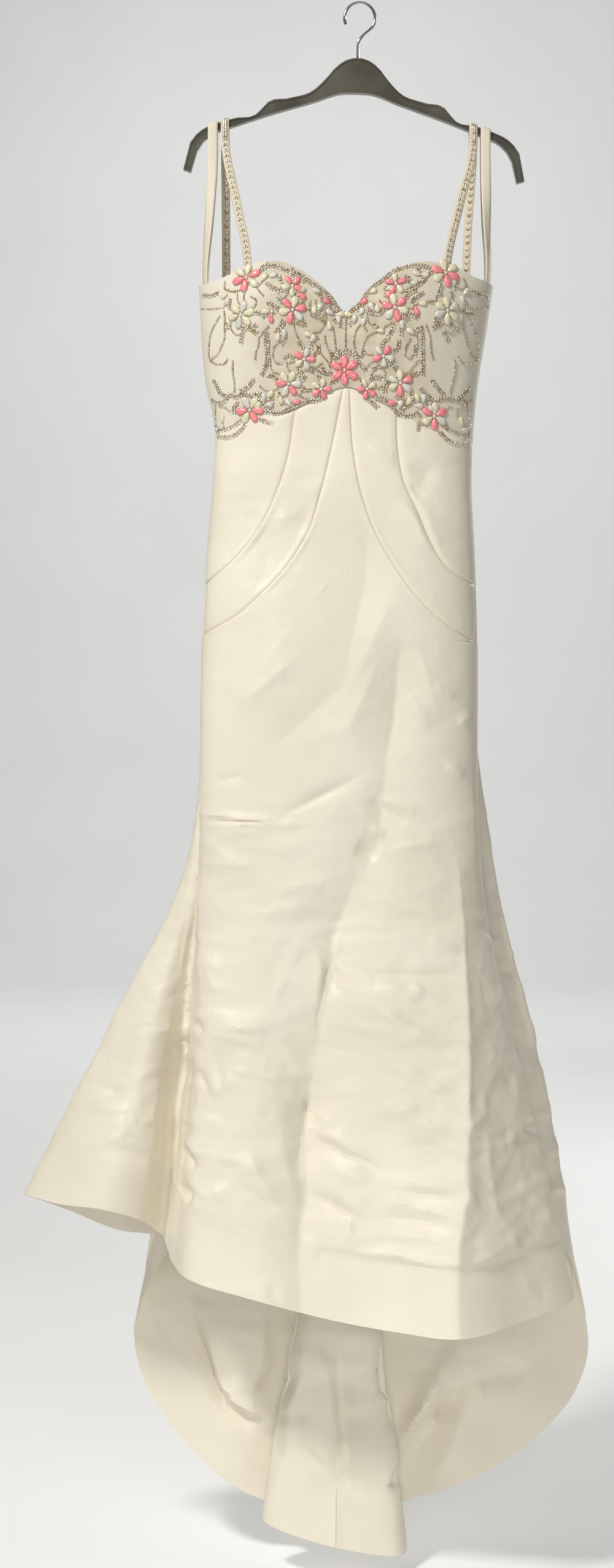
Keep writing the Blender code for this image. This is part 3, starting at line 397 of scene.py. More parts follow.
# %% The hem and its folds
# The hem, once around the gown: where each fold starts at the knee (side seams at -1, 1 and 3,
# centre front at 0, centre back at 2), where it ends, how far it bows out sideways on its way, and
# whether it opens only in the lower skirt, as the box pleat at the centre back does
HEM = named_table("around x y z bow late", (
    ("left wing tip", -1.00, -443, 10, -1566, 0, 0),
    ("left wing crest", -0.97, -387, -50, -1569, 0, 0),
    ("left wing front", -0.94, -333, -76, -1571, 0, 0),
    ("left wing inner", -0.91, -288, -55, -1587, 0, 0),
    ("left valley", -0.88, -261, -2, -1617, 0, 0),
    ("left valley wall", -0.85, -242, -56, -1643, 0, 0),
    ("left ridge", -0.79, -216, -112, -1655, 0, 0),
    ("front left", -0.40, -141, -128, -1675, 0, 0),
    ("front middle", -0.02, -46, -118, -1702, 0, 0),
    ("front right", 0.27, 47, -128, -1717, 0, 0),
    ("right ridge", 0.60, 121, -140, -1723, 0, 0),
    ("right front side", 0.82, 206, -80, -1714, 2, 0),
    ("right side", 1.00, 281, 2, -1697, -2, 0),
    ("right tuck", 1.05, 252, 48, -1678, 5, 0),
    ("right wing", 1.11, 282, 92, -1660, 24, 0),
    ("train right start", 1.20, 302, 132, -1714, 18, 0),
    ("train right bulge", 1.32, 318, 152, -1802, 5, 0),
    ("train right low", 1.44, 300, 154, -1862, 0, 0),
    ("train right corner", 1.55, 254, 142, -1914, 0, 0),
    ("train right middle", 1.66, 186, 128, -1960, 0, 0),
    ("train right inner", 1.77, 120, 124, -1988, 0, 0),
    ("pleat behind right", 1.86, 56, 132, -2010, 0, 1),
    ("pleat turn right", 1.90, 36, 110, -2022, 0, 1),
    ("pleat edge right", 1.94, 66, 82, -2055, 0, 1),
    ("pleat face right", 1.97, 52, 58, -2058, 0, 1),
    ("pleat middle", 2.00, -31, 48, -2044, 0, 1),
    ("pleat face left", 2.03, -114, 56, -2019, 0, 1),
    ("pleat edge left", 2.06, -129, 82, -2014, 0, 1),
    ("pleat turn left", 2.10, -98, 110, -2016, 0, 1),
    ("pleat behind left", 2.14, -116, 132, -2010, 0, 1),
    ("train left inner", 2.24, -160, 126, -1990, 0, 0),
    ("train left middle", 2.34, -212, 130, -1950, 0, 0),
    ("train left corner", 2.43, -262, 140, -1895, 0, 0),
    ("train left low", 2.52, -294, 148, -1845, 0, 0),
    ("train left bulge", 2.61, -306, 140, -1780, 0, 0),
    ("train left top", 2.70, -286, 118, -1712, 0, 0),
    ("left tuck inner", 2.79, -256, 84, -1648, 0, 0),
    ("left tuck outer", 2.85, -270, 56, -1629, 0, 0),
    ("left wing back", 2.91, -325, 72, -1624, 0, 0),
    ("left wing under", 2.96, -391, 60, -1595, 0, 0),
))
LATE_START = 0.3
LATE_END = 1.0
# How many rows are repeated past each end, so that the curve is smooth where it closes
HEM_WRAP = 3


def closed_hem(rows):
    """The hem's rows, repeated past both ends, with the way walked along them."""
    ring = {}
    for name, values in rows.items():
        turn = 4.0 if name == "around" else 0.0
        ring[name] = np.concatenate((values[-HEM_WRAP:] - turn, values, values[:HEM_WRAP] + turn))
    stops = np.stack([ring["x"], ring["y"], ring["z"]], axis=1)
    steps = np.sqrt(np.linalg.norm(np.diff(stops, axis=0), axis=1))
    ring["walk"] = np.concatenate(([0.0], np.cumsum(steps)))
    return ring


HEM_RING = closed_hem(HEM)
PLAIN_RING = closed_hem({name: values[HEM["late"] == 0] for name, values in HEM.items()})


def hem_walk(around, ring=HEM_RING):
    """How far along the hem's curve each fold line ends."""
    return smooth(around, ring["around"], ring["walk"], steady_slopes)


def hem_place(around, ring):
    """Where each fold line meets the hem, and how far it bows."""
    walk = hem_walk(np.mod(around + 1, 4) - 1, ring)
    return [smooth(walk, ring["walk"], ring[name]) for name in ("x", "y", "z", "bow")]


print("places on the hem:", len(HEM["around"]), "of which the pleat has", int(HEM["late"].sum()))

# %% Any place on the gown
KNEE = -960.0
# How the skirt leaves the knee: a soft start over this share of its length, then straight
FLARE_START = 0.42
FLARE_POWER = 2.5
SKIRT_SPAN = 1000.0


def gown(around, height):
    """Places on the outside of the gown; below the knee the height counts the share of the skirt."""
    around, height = np.broadcast_arrays(np.asarray(around, float), np.asarray(height, float))
    x, y = fitted(around, np.maximum(height, KNEE))
    share = np.clip((KNEE - height) / SKIRT_SPAN, 0, 1)
    soft = FLARE_START * (share / FLARE_START) ** FLARE_POWER / FLARE_POWER
    lost = FLARE_START * (1 - 1 / FLARE_POWER)
    flare = np.where(share < FLARE_START, soft, share - lost) / (1 - lost)
    plain_x, plain_y, _, bow = hem_place(around, PLAIN_RING)
    hem_x, hem_y, hem_z, _ = hem_place(around, HEM_RING)
    opened = np.clip((share - LATE_START) / (LATE_END - LATE_START), 0, 1)
    opened = opened * opened * (3 - 2 * opened)
    x = x + (plain_x - x + (hem_x - plain_x) * opened) * flare + bow * 4 * share * (1 - share)
    y = y + (plain_y - y + (hem_y - plain_y) * opened) * flare
    z = np.maximum(height, KNEE) + (hem_z - KNEE) * share
    return np.stack([x, y, z], axis=-1)


def outward(around, height):
    """The direction straight out of the cloth at each place."""
    step = 0.002
    along = gown(around + step, height) - gown(around - step, height)
    up = gown(around, np.asarray(height) + 1.0) - gown(around, np.asarray(height) - 1.0)
    normal = np.cross(along, up)
    return normal / np.linalg.norm(normal, axis=-1, keepdims=True)


def front_around(x, height):
    """Where a place seen from the front lies on the way around the gown."""
    left = smooth(height, SECTIONS["height"], SECTIONS["left"])
    right = smooth(height, SECTIONS["height"], SECTIONS["right"])
    share = (x - (left + right) / 2) / ((right - left) / 2)
    return np.arcsin(np.clip(share, -1, 1)) * 2 / math.pi


print("centre front at the hem, mm:", gown(0.0, KNEE - SKIRT_SPAN).round())

# %% Edges and seams
SEAM_END_OUTER = (-762.0, -764.0)
SEAM_END_INNER = (-830.0, -842.0)
BACK_NECK_DIP = -408.0
# Edges and seams of the front, as places seen from the front
NECKLINE = table("x z", (
    (-211, -372), (-192, -372), (-170, -366), (-144, -355), (-100, -353), (-80, -362), (-56, -379),
    (-37, -396), (-20, -417), (-4, -404), (14, -385), (34, -369), (64, -355), (102, -352),
    (120, -355), (144, -366), (166, -371), (175, -374),
))
WAIST = table("x z", (
    (-190, -563), (-150, -559), (-113, -552), (-84, -540), (-50, -524), (-18, -513), (14, -526),
    (47, -543), (80, -562), (112, -574), (149, -578),
))
INNER_SEAM_LEFT = table("x z", (
    (-22, -514), (-38, -595), (-52, -651), (-66, -695), (-92, -739), (-125, -776), (-163, -808),
    (-207, SEAM_END_INNER[0]),
))
INNER_SEAM_RIGHT = table("x z", (
    (-14, -514), (-9, -595), (0, -644), (17, -695), (46, -746), (70, -779), (96, -806), (121, -825),
    (155, SEAM_END_INNER[1]),
))
OUTER_SEAM_LEFT = table("x z", (
    (-84, -540), (-95, -606), (-110, -651), (-129, -689), (-155, -724), (-178, -745),
    (-203, SEAM_END_OUTER[0]),
))
OUTER_SEAM_RIGHT = table("x z", (
    (47, -543), (49, -595), (56, -632), (74, -671), (91, -711), (107, -737), (128, -755),
    (152, SEAM_END_OUTER[1]),
))


def seam(rows, count, end_around):
    """Evenly spaced places (around, height) along a seam, from the waist to a side seam."""
    walk = np.concatenate(([0.0], np.cumsum(np.hypot(np.diff(rows["x"]), np.diff(rows["z"])))))
    at = np.linspace(0, walk[-1], count)
    x = smooth(at, walk, rows["x"])
    z = smooth(at, walk, rows["z"])
    around = front_around(x, z)
    around[-1] = end_around
    z[0] = edge_height(WAIST, around[:1])[0]
    return np.stack([around, z], axis=1)


def edge_height(edge, around):
    """The height of an edge such as the neckline, on the way around the front."""
    line = front_around(edge["x"], edge["z"])
    line[0], line[-1] = -1.0, 1.0
    return smooth(around, line, edge["z"])


def places(around, height):
    """One row of places."""
    around, height = np.broadcast_arrays(np.asarray(around, float), np.asarray(height, float))
    return np.stack([around, height], axis=1)


def back_neck(around):
    """The height of the back's upper edge, which dips from the side seams to the middle."""
    side = np.where(np.asarray(around) < 2.0, NECKLINE["z"][-1], NECKLINE["z"][0])
    from_middle = np.abs(np.asarray(around) - 2.0)
    return side + (BACK_NECK_DIP - side) * np.cos(from_middle * math.pi / 2)


WAIST_LEFT = float(WAIST["z"][0])
WAIST_RIGHT = float(WAIST["z"][-1])
WAIST_MIDDLE = (WAIST_LEFT + WAIST_RIGHT) / 2
print("hem from", round(float(HEM["z"].max())), "to", round(float(HEM["z"].min())), "mm below the hook")

# %% [markdown]
# ## Folds and creases
# Stiff satin does not hang in soft waves. It breaks into flat planes with sharp ridges between
# them, and every dent keeps its edge. A simulation tends to round that off, so each main crease
# is listed: where it runs as seen from the front, how far it stands out (or in, with a
# minus) and how wide it is. A peaked profile gives the ridge its edge. Finer crumples come from
# facets with sharp ridges between them. They are weak on the hips, grow below the knee and are
# weak again on the stiff band at the hem. Their noise is seeded, because it would otherwise
# start from the clock and differ in each run.

# %% Creases of the front
CREASES = (
    ("hip pull left", 0.8, 10, (-107, -567), (-91, -536)),
    ("side dent right", -1.6, 9, (63, -620), (88, -622), (78, -640)),
    ("side dent right low", -1.4, 10, (63, -640), (85, -655)),
    ("mid pull right", 1.6, 10, (10, -589), (45, -612)),
    ("mid crease right", 2.2, 14, (45, -663), (75, -683), (98, -723)),
    ("mid hollow left", -1.6, 16, (-86, -678), (-66, -698)),
    ("mid line left", 1.0, 6, (-109, -683), (-91, -680)),
    ("hollow left panel", -1.5, 30, (-132, -627), (-144, -683), (-127, -723)),
    ("mid left hollow", -2.2, 34, (-122, -693), (-122, -743), (-137, -776)),
    ("centre dimple", 0.5, 9, (-51, -769), (-45, -774)),
    ("right hollow", -3.0, 40, (10, -683), (6, -764), (-11, -837), (-26, -917)),
    ("right lit ridge", 2.6, 30, (45, -774), (12, -849), (-26, -917)),
    ("waist ripple", -1.0, 12, (-91, -630), (-46, -632)),
    ("waist ripple low", 0.8, 9, (-91, -642), (-46, -647)),
    ("side ripple left", 1.0, 12, (-182, -612), (-172, -663)),
    ("thigh pull left", 1.6, 24, (-86, -819), (-132, -885)),
    ("thigh pull left low", 2.0, 14, (-82, -860), (-158, -926)),
    ("thigh hollow left", -3.0, 34, (-10, -887), (-118, -983)),
    ("thigh ridge middle", 2.4, 26, (20, -875), (-16, -953), (-58, -965)),
    ("thigh valley right", -5.0, 40, (52, -839), (44, -941), (29, -1020)),
    ("thigh vee right", 2.0, 14, (62, -908), (90, -953)),
    ("thigh vee right upper", 1.6, 16, (75, -851), (99, -929)),
    ("thigh flick right", 1.4, 6, (93, -902), (123, -913)),
    ("hip edge flick", 1.6, 7, (127, -947), (145, -935)),
    ("knee diagonal", -2.4, 7, (-1, -1015), (-46, -1038), (-103, -1066)),
    ("knee short left", -1.5, 6, (-191, -1023), (-153, -1013)),
    ("knee crease upper", 2.6, 5, (-209, -1063), (-155, -1070), (-111, -1073)),
    ("knee crease lower", 2.4, 5, (-206, -1080), (-152, -1078), (-73, -1077)),
    ("knee crease between", -2.0, 4, (-197, -1073), (-137, -1076), (-100, -1077)),
    ("knee crease under", 1.0, 6, (-200, -1088), (-115, -1089)),
    ("knee ripple left", 1.4, 12, (-161, -1104), (-94, -1112)),
    ("knee fan left", 1.5, 12, (-209, -1095), (-158, -1128)),
    ("knee line left", 1.4, 7, (-206, -1128), (-143, -1132)),
    ("knee pull right", 2.2, 9, (23, -1044), (72, -1059)),
    ("knee pull right low", -2.4, 12, (11, -1047), (62, -1074)),
    ("knee flick middle", 2.2, 6, (14, -1080), (31, -1091)),
    ("knee dent middle", -3.0, 12, (-7, -1106), (8, -1112), (20, -1121)),
    ("knee line right", 1.8, 7, (41, -1108), (99, -1100)),
    ("knee diagonal right", 1.6, 6, (111, -998), (136, -1014)),
    ("calf valley upper", -4.0, 34, (35, -1007), (20, -1110), (-4, -1158)),
    ("calf valley", -7.0, 44, (-4, -1140), (-34, -1219), (-46, -1311)),
    ("calf ridge beside", 3.5, 20, (-58, -1240), (-49, -1261), (-53, -1311)),
    ("calf crease one", 1.6, 6, (-28, -1216), (-31, -1243)),
    ("calf crease two", 2.2, 8, (-46, -1243), (-10, -1279)),
    ("calf crease three", -2.0, 9, (-46, -1267), (-22, -1294)),
    ("calf line right", -2.2, 6, (14, -1270), (62, -1278), (102, -1274)),
    ("calf line right below", 1.4, 9, (17, -1285), (78, -1291)),
    ("calf flick right", 1.8, 9, (87, -1227), (126, -1240)),
    ("calf crumple left", 1.6, 10, (-203, -1246), (-176, -1270)),
    ("calf crumple left low", 1.4, 9, (-200, -1282), (-170, -1291)),
    ("calf arc left", 1.2, 10, (-106, -1167), (-70, -1152), (-46, -1161)),
    ("ridge top spur", 2.0, 14, (-209, -1134), (-204, -1311)),
    ("fold spur one", 2.0, 12, (-201, -1251), (-184, -1297)),
    ("fold spur two", 1.5, 12, (-203, -1315), (-118, -1339)),
    ("fold line", 2.2, 6, (-200, -1337), (-113, -1340)),
    ("fold pull", 2.6, 9, (-193, -1347), (-155, -1353), (-126, -1364)),
    ("fold dent", -4.0, 10, (-213, -1391), (-195, -1422)),
    ("fold dent upper", -3.0, 8, (-216, -1332), (-204, -1346)),
    ("fold kink", 3.0, 9, (-195, -1421), (-177, -1412)),
    ("star one", 2.4, 8, (-177, -1415), (-165, -1394)),
    ("star two", -2.2, 10, (-190, -1372), (-177, -1411)),
    ("star three", 1.8, 9, (-167, -1394), (-135, -1389)),
    ("front line upper", 1.4, 7, (-152, -1395), (-115, -1399), (-66, -1401)),
    ("front corner", 2.0, 12, (-66, -1401), (-59, -1384), (-54, -1338)),
    ("fold bite one", 3.2, 8, (-226, -1484), (-204, -1499)),
    ("fold bite two", -4.5, 9, (-231, -1496), (-211, -1519)),
    ("fold bite three", -4.0, 9, (-227, -1539), (-221, -1563)),
    ("fold bulge", 2.6, 12, (-224, -1533), (-193, -1551), (-155, -1530)),
    ("low pull one", 2.4, 12, (-204, -1496), (-155, -1505), (-126, -1516)),
    ("low pull two", -2.6, 14, (-184, -1522), (-144, -1542), (-106, -1568)),
    ("low pull three", 2.8, 12, (-144, -1490), (-132, -1525), (-105, -1556)),
    ("band edge left", 2.4, 8, (-213, -1576), (-167, -1585), (-118, -1609)),
    ("middle dent one", -3.0, 12, (-72, -1430), (-57, -1464)),
    ("middle dent two", 2.2, 16, (-103, -1456), (-95, -1505), (-80, -1562)),
    ("hem pucker one", 1.2, 3, (-125, -1654), (-123, -1671)),
    ("hem pucker two", -1.4, 3, (-112, -1660), (-110, -1677)),
    ("hem pucker three", 1.4, 3, (-100, -1663), (-99, -1680)),
    ("lobe line one", 1.8, 10, (-368, -1437), (-336, -1438), (-305, -1432)),
    ("lobe line two", -1.8, 9, (-332, -1418), (-305, -1435)),
    ("lobe arc one", 1.8, 12, (-365, -1476), (-328, -1464), (-287, -1461)),
    ("lobe arc two", 2.6, 13, (-377, -1502), (-328, -1489), (-305, -1473), (-282, -1479),
     (-250, -1505)),
    ("lobe arc three", -2.2, 12, (-339, -1499), (-305, -1499), (-276, -1513)),
    ("lobe arc four", 1.4, 16, (-371, -1522), (-322, -1505), (-282, -1522), (-247, -1556)),
    ("middle valley", -14.0, 36, (-31, -1245), (-50, -1302), (-66, -1422), (-79, -1530)),
    ("middle valley low", -7.0, 30, (-53, -1422), (-66, -1514), (-79, -1625), (-75, -1720)),
    ("lobe valley", -6.0, 34, (-226, -1170), (-236, -1300), (-243, -1420), (-249, -1540),
     (-252, -1640)),
    ("middle ridge left", 5.0, 20, (-53, -1245), (-55, -1314), (-63, -1397), (-79, -1466)),
    ("down pull one", 1.8, 14, (-37, -1273), (-3, -1302), (92, -1352)),
    ("down pull two", 2.2, 10, (-69, -1435), (-37, -1463)),
    ("down pull three", 4.2, 12, (-66, -1463), (-28, -1479), (10, -1503)),
    ("down pull four", -3.0, 10, (-60, -1476), (-22, -1498), (23, -1514)),
    ("down pull five", 3.6, 12, (-37, -1514), (-12, -1523), (13, -1533)),
    ("down pull six", 3.2, 14, (-50, -1530), (-28, -1549), (7, -1574)),
    ("down pull seven", -4.2, 11, (-69, -1547), (-37, -1561), (-14, -1574)),
    ("down kink", 3.4, 9, (-14, -1574), (-17, -1606)),
    ("down hollow", -2.6, 14, (-56, -1615), (-37, -1625)),
    ("fan one", -1.8, 6, (10, -1267), (54, -1270), (133, -1273)),
    ("fan two", 1.6, 6, (64, -1280), (80, -1292)),
    ("fan three", 1.4, 10, (26, -1318), (61, -1340), (105, -1362)),
    ("fan four", 1.8, 8, (48, -1387), (92, -1409), (118, -1425)),
    ("fan five", 2.6, 9, (27, -1435), (48, -1443), (73, -1435)),
    ("fan six", 2.4, 8, (80, -1454), (92, -1463), (108, -1457)),
    ("fan seven", 1.6, 9, (58, -1447), (92, -1466), (130, -1479)),
    ("fan eight", -3.0, 9, (61, -1482), (86, -1487), (118, -1503)),
    ("fan nine", 3.4, 11, (32, -1520), (73, -1530), (127, -1542)),
    ("fan ten", -1.8, 10, (48, -1542), (86, -1549), (121, -1550)),
    ("fan eleven", 3.4, 8, (32, -1555), (73, -1561), (118, -1574)),
    ("fan twelve", -2.8, 9, (32, -1576), (73, -1582), (114, -1588)),
    ("fan thirteen", 2.2, 10, (23, -1599), (67, -1596), (114, -1603)),
    ("band edge right", 2.4, 8, (-3, -1618), (48, -1622), (92, -1633), (118, -1637)),
    ("edge spur one", 2.0, 8, (127, -1466), (151, -1452)),
    ("edge spur two", 2.0, 9, (124, -1549), (140, -1550)),
    ("edge spur three", 2.0, 10, (127, -1637), (168, -1622), (200, -1609)),
    ("right ridge", 5.0, 15, (126, -1130), (130, -1245), (132, -1409), (127, -1542), (118, -1618),
     (121, -1790)),
    ("second ridge", 1.6, 12, (151, -1422), (154, -1460), (159, -1523), (168, -1577), (149, -1606)),
    ("side line one", 1.0, 12, (156, -1466), (181, -1495), (209, -1471)),
    ("side line two", 1.0, 12, (165, -1596), (200, -1577), (232, -1565)),
    ("side line three", 0.8, 12, (143, -1618), (187, -1606), (213, -1587)),
    ("side line four", 0.8, 12, (209, -1653), (216, -1685)),
    ("hem pucker right", -1.4, 4, (233, -1678), (235, -1691)),
)

# %% Creases on the inside of the train
TRAIN_CREASES = (
    ("drag fold deep", -12, 18, (-235, -1739), (-215, -1794), (-198, -1839), (-182, -1875),
     (-154, -1895), (-123, -1890)),
    ("drag fold rim", 9, 14, (-218, -1739), (-198, -1794), (-187, -1839), (-168, -1864),
     (-143, -1878), (-115, -1889)),
    ("drag fold outer", 4, 22, (-249, -1767), (-226, -1817), (-204, -1861), (-171, -1906),
     (-134, -1906)),
    ("inner bump one", 4, 12, (-129, -1747), (-129, -1794), (-141, -1839)),
    ("inner bump two", 4, 9, (-168, -1843), (-148, -1850), (-132, -1840)),
    ("inner line", -3, 12, (-134, -1839), (-109, -1828), (-81, -1822)),
    ("inner pucker", -2.4, 5, (-95, -1744), (-87, -1775)),
    ("inner sweep", 2, 8, (-98, -1889), (-120, -1889), (-104, -1903)),
    ("pleat lip", 3, 9, (-72, -1754), (-76, -1817), (-93, -1861), (-93, -1920), (-104, -1942),
     (-132, -2028)),
    ("face fold one", 7, 24, (-59, -1775), (-48, -1814), (-31, -1861), (-9, -1950)),
    ("face fold two", 5, 16, (-81, -1875), (-59, -1906), (-23, -1964)),
    ("face hollow", -4, 13, (-76, -1911), (-54, -1931), (-17, -1961)),
    ("face arc", 3, 9, (-90, -1925), (-76, -1928), (-48, -1950), (-23, -1967)),
    ("face hollow right", -2.6, 16, (52, -1778), (35, -1828), (38, -1850)),
    ("face small", 2, 6, (33, -1847), (45, -1861)),
    ("facing seam", -1.6, 4, (-45, -1967), (-4, -1971), (38, -1970), (108, -1957)),
    ("facing tuck one", 1.6, 3, (-41, -1974), (-38, -1988)),
    ("facing tuck two", 1.6, 3, (-17, -1973), (-15, -1988)),
    ("right fold edge", 12, 14, (130, -1789), (94, -1861), (61, -1917), (40, -1964)),
    ("right fold hollow", -14, 22, (147, -1839), (116, -1889), (80, -1934), (47, -1961)),
    ("right fold back", 4, 14, (155, -1845), (141, -1889), (127, -1934), (108, -1964)),
    ("right kink", 2.4, 8, (119, -1942), (113, -1956)),
    ("right soft one", 2, 12, (161, -1861), (175, -1861)),
    ("right soft two", 2.6, 14, (127, -1961), (141, -1939), (164, -1931)),
)
print("creases", len(CREASES), "on the front,", len(TRAIN_CREASES), "in the train")

# %% How far a crease moves the cloth
# Below 2 the profile is peaked and not round
CREASE_PEAK = 1.08
CREASE_SHARE = 2.3
# A crease counts out to this many of its widths, and fades towards both of its ends
CREASE_REACH = 3.2
FADE_POWER = 0.7
FADE_ENDS = 0.03


def to_line(xs, zs, line):
    """Distance of each place to a line of points seen from the front, and how far along it is."""
    nearest = np.full(xs.shape, 1e9)
    along = np.zeros(xs.shape)
    walked = 0.0
    for (ax, az), (bx, bz) in zip(line[:-1], line[1:]):
        dx, dz = bx - ax, bz - az
        length = math.hypot(dx, dz)
        t = np.clip(((xs - ax) * dx + (zs - az) * dz) / length ** 2, 0, 1)
        away = np.hypot(xs - ax - t * dx, zs - az - t * dz)
        closer = away < nearest
        along = np.where(closer, walked + t * length, along)
        nearest = np.where(closer, away, nearest)
        walked += length
    return nearest, along / walked


def crease_lift(xs, zs, creases):
    """How far the creases together lift each place, in millimetres."""
    lift = np.zeros(xs.shape)
    for _, depth, width, *line in creases:
        line = np.array(line, float)
        reach = CREASE_REACH * width
        low, high = line.min(axis=0) - reach, line.max(axis=0) + reach
        near = (xs > low[0]) & (xs < high[0]) & (zs > low[1]) & (zs < high[1])
        if not near.any():
            continue
        away, along = to_line(xs[near], zs[near], line)
        fade = np.sin(math.pi * (along * (1 - 2 * FADE_ENDS) + FADE_ENDS)) ** FADE_POWER
        lift[near] += depth * CREASE_SHARE * fade * np.exp(-(away / width) ** CREASE_PEAK)
    return lift


# %% Fine crumples
from mathutils import noise

noise.seed_set(7)
HEM_BAND = 90.0
# Facet sizes and heights, and how far their ridges are bent
CRUMPLE = ((190.0, 8.0), (75.0, 5.5), (32.0, 2.0))
FACET_WIDE, FACET_HIGH = 1.4, 0.7
BEND_SCALE, BEND = 0.8, 0.7
CRUMPLE_START, CRUMPLE_GROWS = -1000.0, 350.0
CRUMPLE_LEAST = 0.16


def crumple(points, size):
    """Facets about this large with sharp ridges between them, from -0.5 to 0.5, wider than high."""
    stretched = points.reshape(-1, 3) / (size * FACET_WIDE, size * FACET_WIDE, size * FACET_HIGH)
    heights = []
    for place in stretched.tolist():
        bent = Vector(place) + noise.noise_vector(Vector(place) * BEND_SCALE) * BEND
        nearest, second = noise.voronoi(bent)[0][:2]
        heights.append(second - nearest)
    return 0.5 - np.clip(np.array(heights).reshape(points.shape[:-1]), 0, 1)


def crumple_lift(points, height):
    """Crumples that grow from the knee to the hem, each size of facet in a place of its own."""
    low = np.clip((CRUMPLE_START - height) / CRUMPLE_GROWS, 0, 1)
    weight = CRUMPLE_LEAST + (1 - CRUMPLE_LEAST) * low
    lift = sum(high * crumple(points + 37.0 * k, size) for k, (size, high) in enumerate(CRUMPLE))
    return lift * weight


# %% [markdown]
# ## Cutting and sewing a panel
# A panel is a grid of places on the gown, taken along the cloth's own columns and rows. Its
# border dips over the last few millimetres, because two panels that are sewn together turn
# inwards at the seam, and that groove is what shows as a seam line. Every panel is a closed
# shell: the outside lies where the rule puts it, a second skin lies one wall behind it and a
# rim joins the two. The inside of a front is never seen, so its skin is coarser. The inside
# of the train is seen below the front hem, so the backs are fine on both sides.

# %% Grids of cloth
SEAM_DIP = 2.0
SEAM_REACH = 1.7
PLEAT_OPENS = -1150.0
PLEAT_FADE = 60.0
WALL = 1.4
# Shares of a cell at which rows crowd towards an edge
CROWD = np.array([0.1, 0.22, 0.36, 0.54, 0.76])


def unit(vectors):
    """Vectors of length 1."""
    return vectors / np.maximum(np.linalg.norm(vectors, axis=-1, keepdims=True), 1e-9)


def spread(count, dense=5):
    """Shares from 0 to 1 that crowd towards both ends, where a seam needs fine cloth."""
    inner = np.linspace(0, 1, count - 2 * dense)
    step = inner[1]
    crowd = step * CROWD[:dense]
    return np.concatenate(([0.0], crowd, inner[1:-1], 1 - crowd[::-1], [1.0]))


def ways(points, axis):
    """Distance of each grid point from both ends of its row or column."""
    steps = np.linalg.norm(np.diff(points, axis=axis), axis=-1)
    from_start = np.concatenate((np.zeros_like(steps.take([0], axis)), np.cumsum(steps, axis)), axis)
    return from_start, from_start.take([-1], axis) - from_start


def grid_normals(points):
    """Outward directions of a grid whose rows run down and whose columns run around."""
    down = np.gradient(points, axis=0)
    across = np.gradient(points, axis=1)
    return unit(np.cross(down, across))


def quads(index):
    """Faces of a grid of point numbers, its outside to the front."""
    corners = (index[:-1, :-1], index[1:, :-1], index[1:, 1:], index[:-1, 1:])
    return np.stack(corners, axis=-1).reshape(-1, 4).tolist()


def thin_shell(name, points, wall, coarse_by):
    """A closed shell: a fine outside, an inside one wall behind it that may be coarser, a rim."""
    rows, columns = points.shape[:2]
    take_rows = np.unique(np.append(np.arange(0, rows, coarse_by), rows - 1))
    take_columns = np.unique(np.append(np.arange(0, columns, coarse_by), columns - 1))
    behind = points - grid_normals(points) * wall
    inner = behind[np.ix_(take_rows, take_columns)]
    fine = np.arange(rows * columns).reshape(rows, columns)
    coarse = rows * columns + np.arange(inner.shape[0] * inner.shape[1]).reshape(inner.shape[:2])
    faces = quads(fine) + quads(coarse[:, ::-1])
    rims = ((fine[0], coarse[0], take_columns, 1), (fine[-1], coarse[-1], take_columns, -1),
            (fine[:, 0], coarse[:, 0], take_rows, -1), (fine[:, -1], coarse[:, -1], take_rows, 1))
    for fine_line, coarse_line, take, turned in rims:
        for k in range(len(take) - 1):
            face = fine_line[take[k]:take[k + 1] + 1].tolist() + coarse_line[[k + 1, k]].tolist()
            faces.append(face[::turned])
    points = np.concatenate((points.reshape(-1, 3), inner.reshape(-1, 3)))
    return mesh_object(name, points * MM, faces)


# %% One panel
# The hem's band is stiff: it takes these shares of the creases and the crumples, stands this far
# out (mm) and has a ridge along its upper edge
CREASE_ON_BAND = 0.65
CRUMPLE_ON_BAND = 0.25
BAND_OUT = 1.1
BAND_RIDGE = 1.2
BAND_BLEND = 5.0
# Creases are drawn as seen from the front, so they weaken where the cloth turns to the side
FACING_GAIN = 2.2
FACING_LEAST = 0.2
# Creases end this far from a sewn edge (mm), and folds sharper than this (degrees) look sharp
CREASE_END = 9.0
SHARP_FOLD = 50


def cloth_lift(points, out, sewn, creases, calm):
    """How far creases, crumples, the hem's band and the seams move each place, in millimetres."""
    height = points[..., 2]
    left, right = ways(points, 1)
    top, bottom = ways(points, 0)
    band = np.ones(bottom.shape)
    if "h" in sewn:
        band = np.clip((bottom - HEM_BAND + BAND_BLEND) / (2 * BAND_BLEND), 0, 1)
    move = crease_lift(points[..., 0], height, creases) * (CREASE_ON_BAND + (1 - CREASE_ON_BAND) * band)
    crumples = crumple_lift(points, height) * (1.0 - calm)
    move = move + crumples * (CRUMPLE_ON_BAND + (1 - CRUMPLE_ON_BAND) * band)
    move = move * np.clip(np.abs(out[..., 1]) * FACING_GAIN, FACING_LEAST, 1.0)
    if "h" in sewn:
        ridge = BAND_RIDGE * np.exp(-((bottom - HEM_BAND) / BAND_BLEND) ** 2)
        move = move + BAND_OUT * (1 - band) + ridge
    for edge, distance in {"l": left, "r": right, "t": top, "b": bottom}.items():
        if edge.upper() in sewn or edge in sewn:
            groove = SEAM_DIP * np.exp(-(distance / SEAM_REACH) ** 2)
            if edge.upper() in sewn:
                groove = groove * np.clip((height - PLEAT_OPENS) / PLEAT_FADE, 0, 1)
            move = move * np.clip(distance / CREASE_END, 0, 1) - groove
    return move, left, top


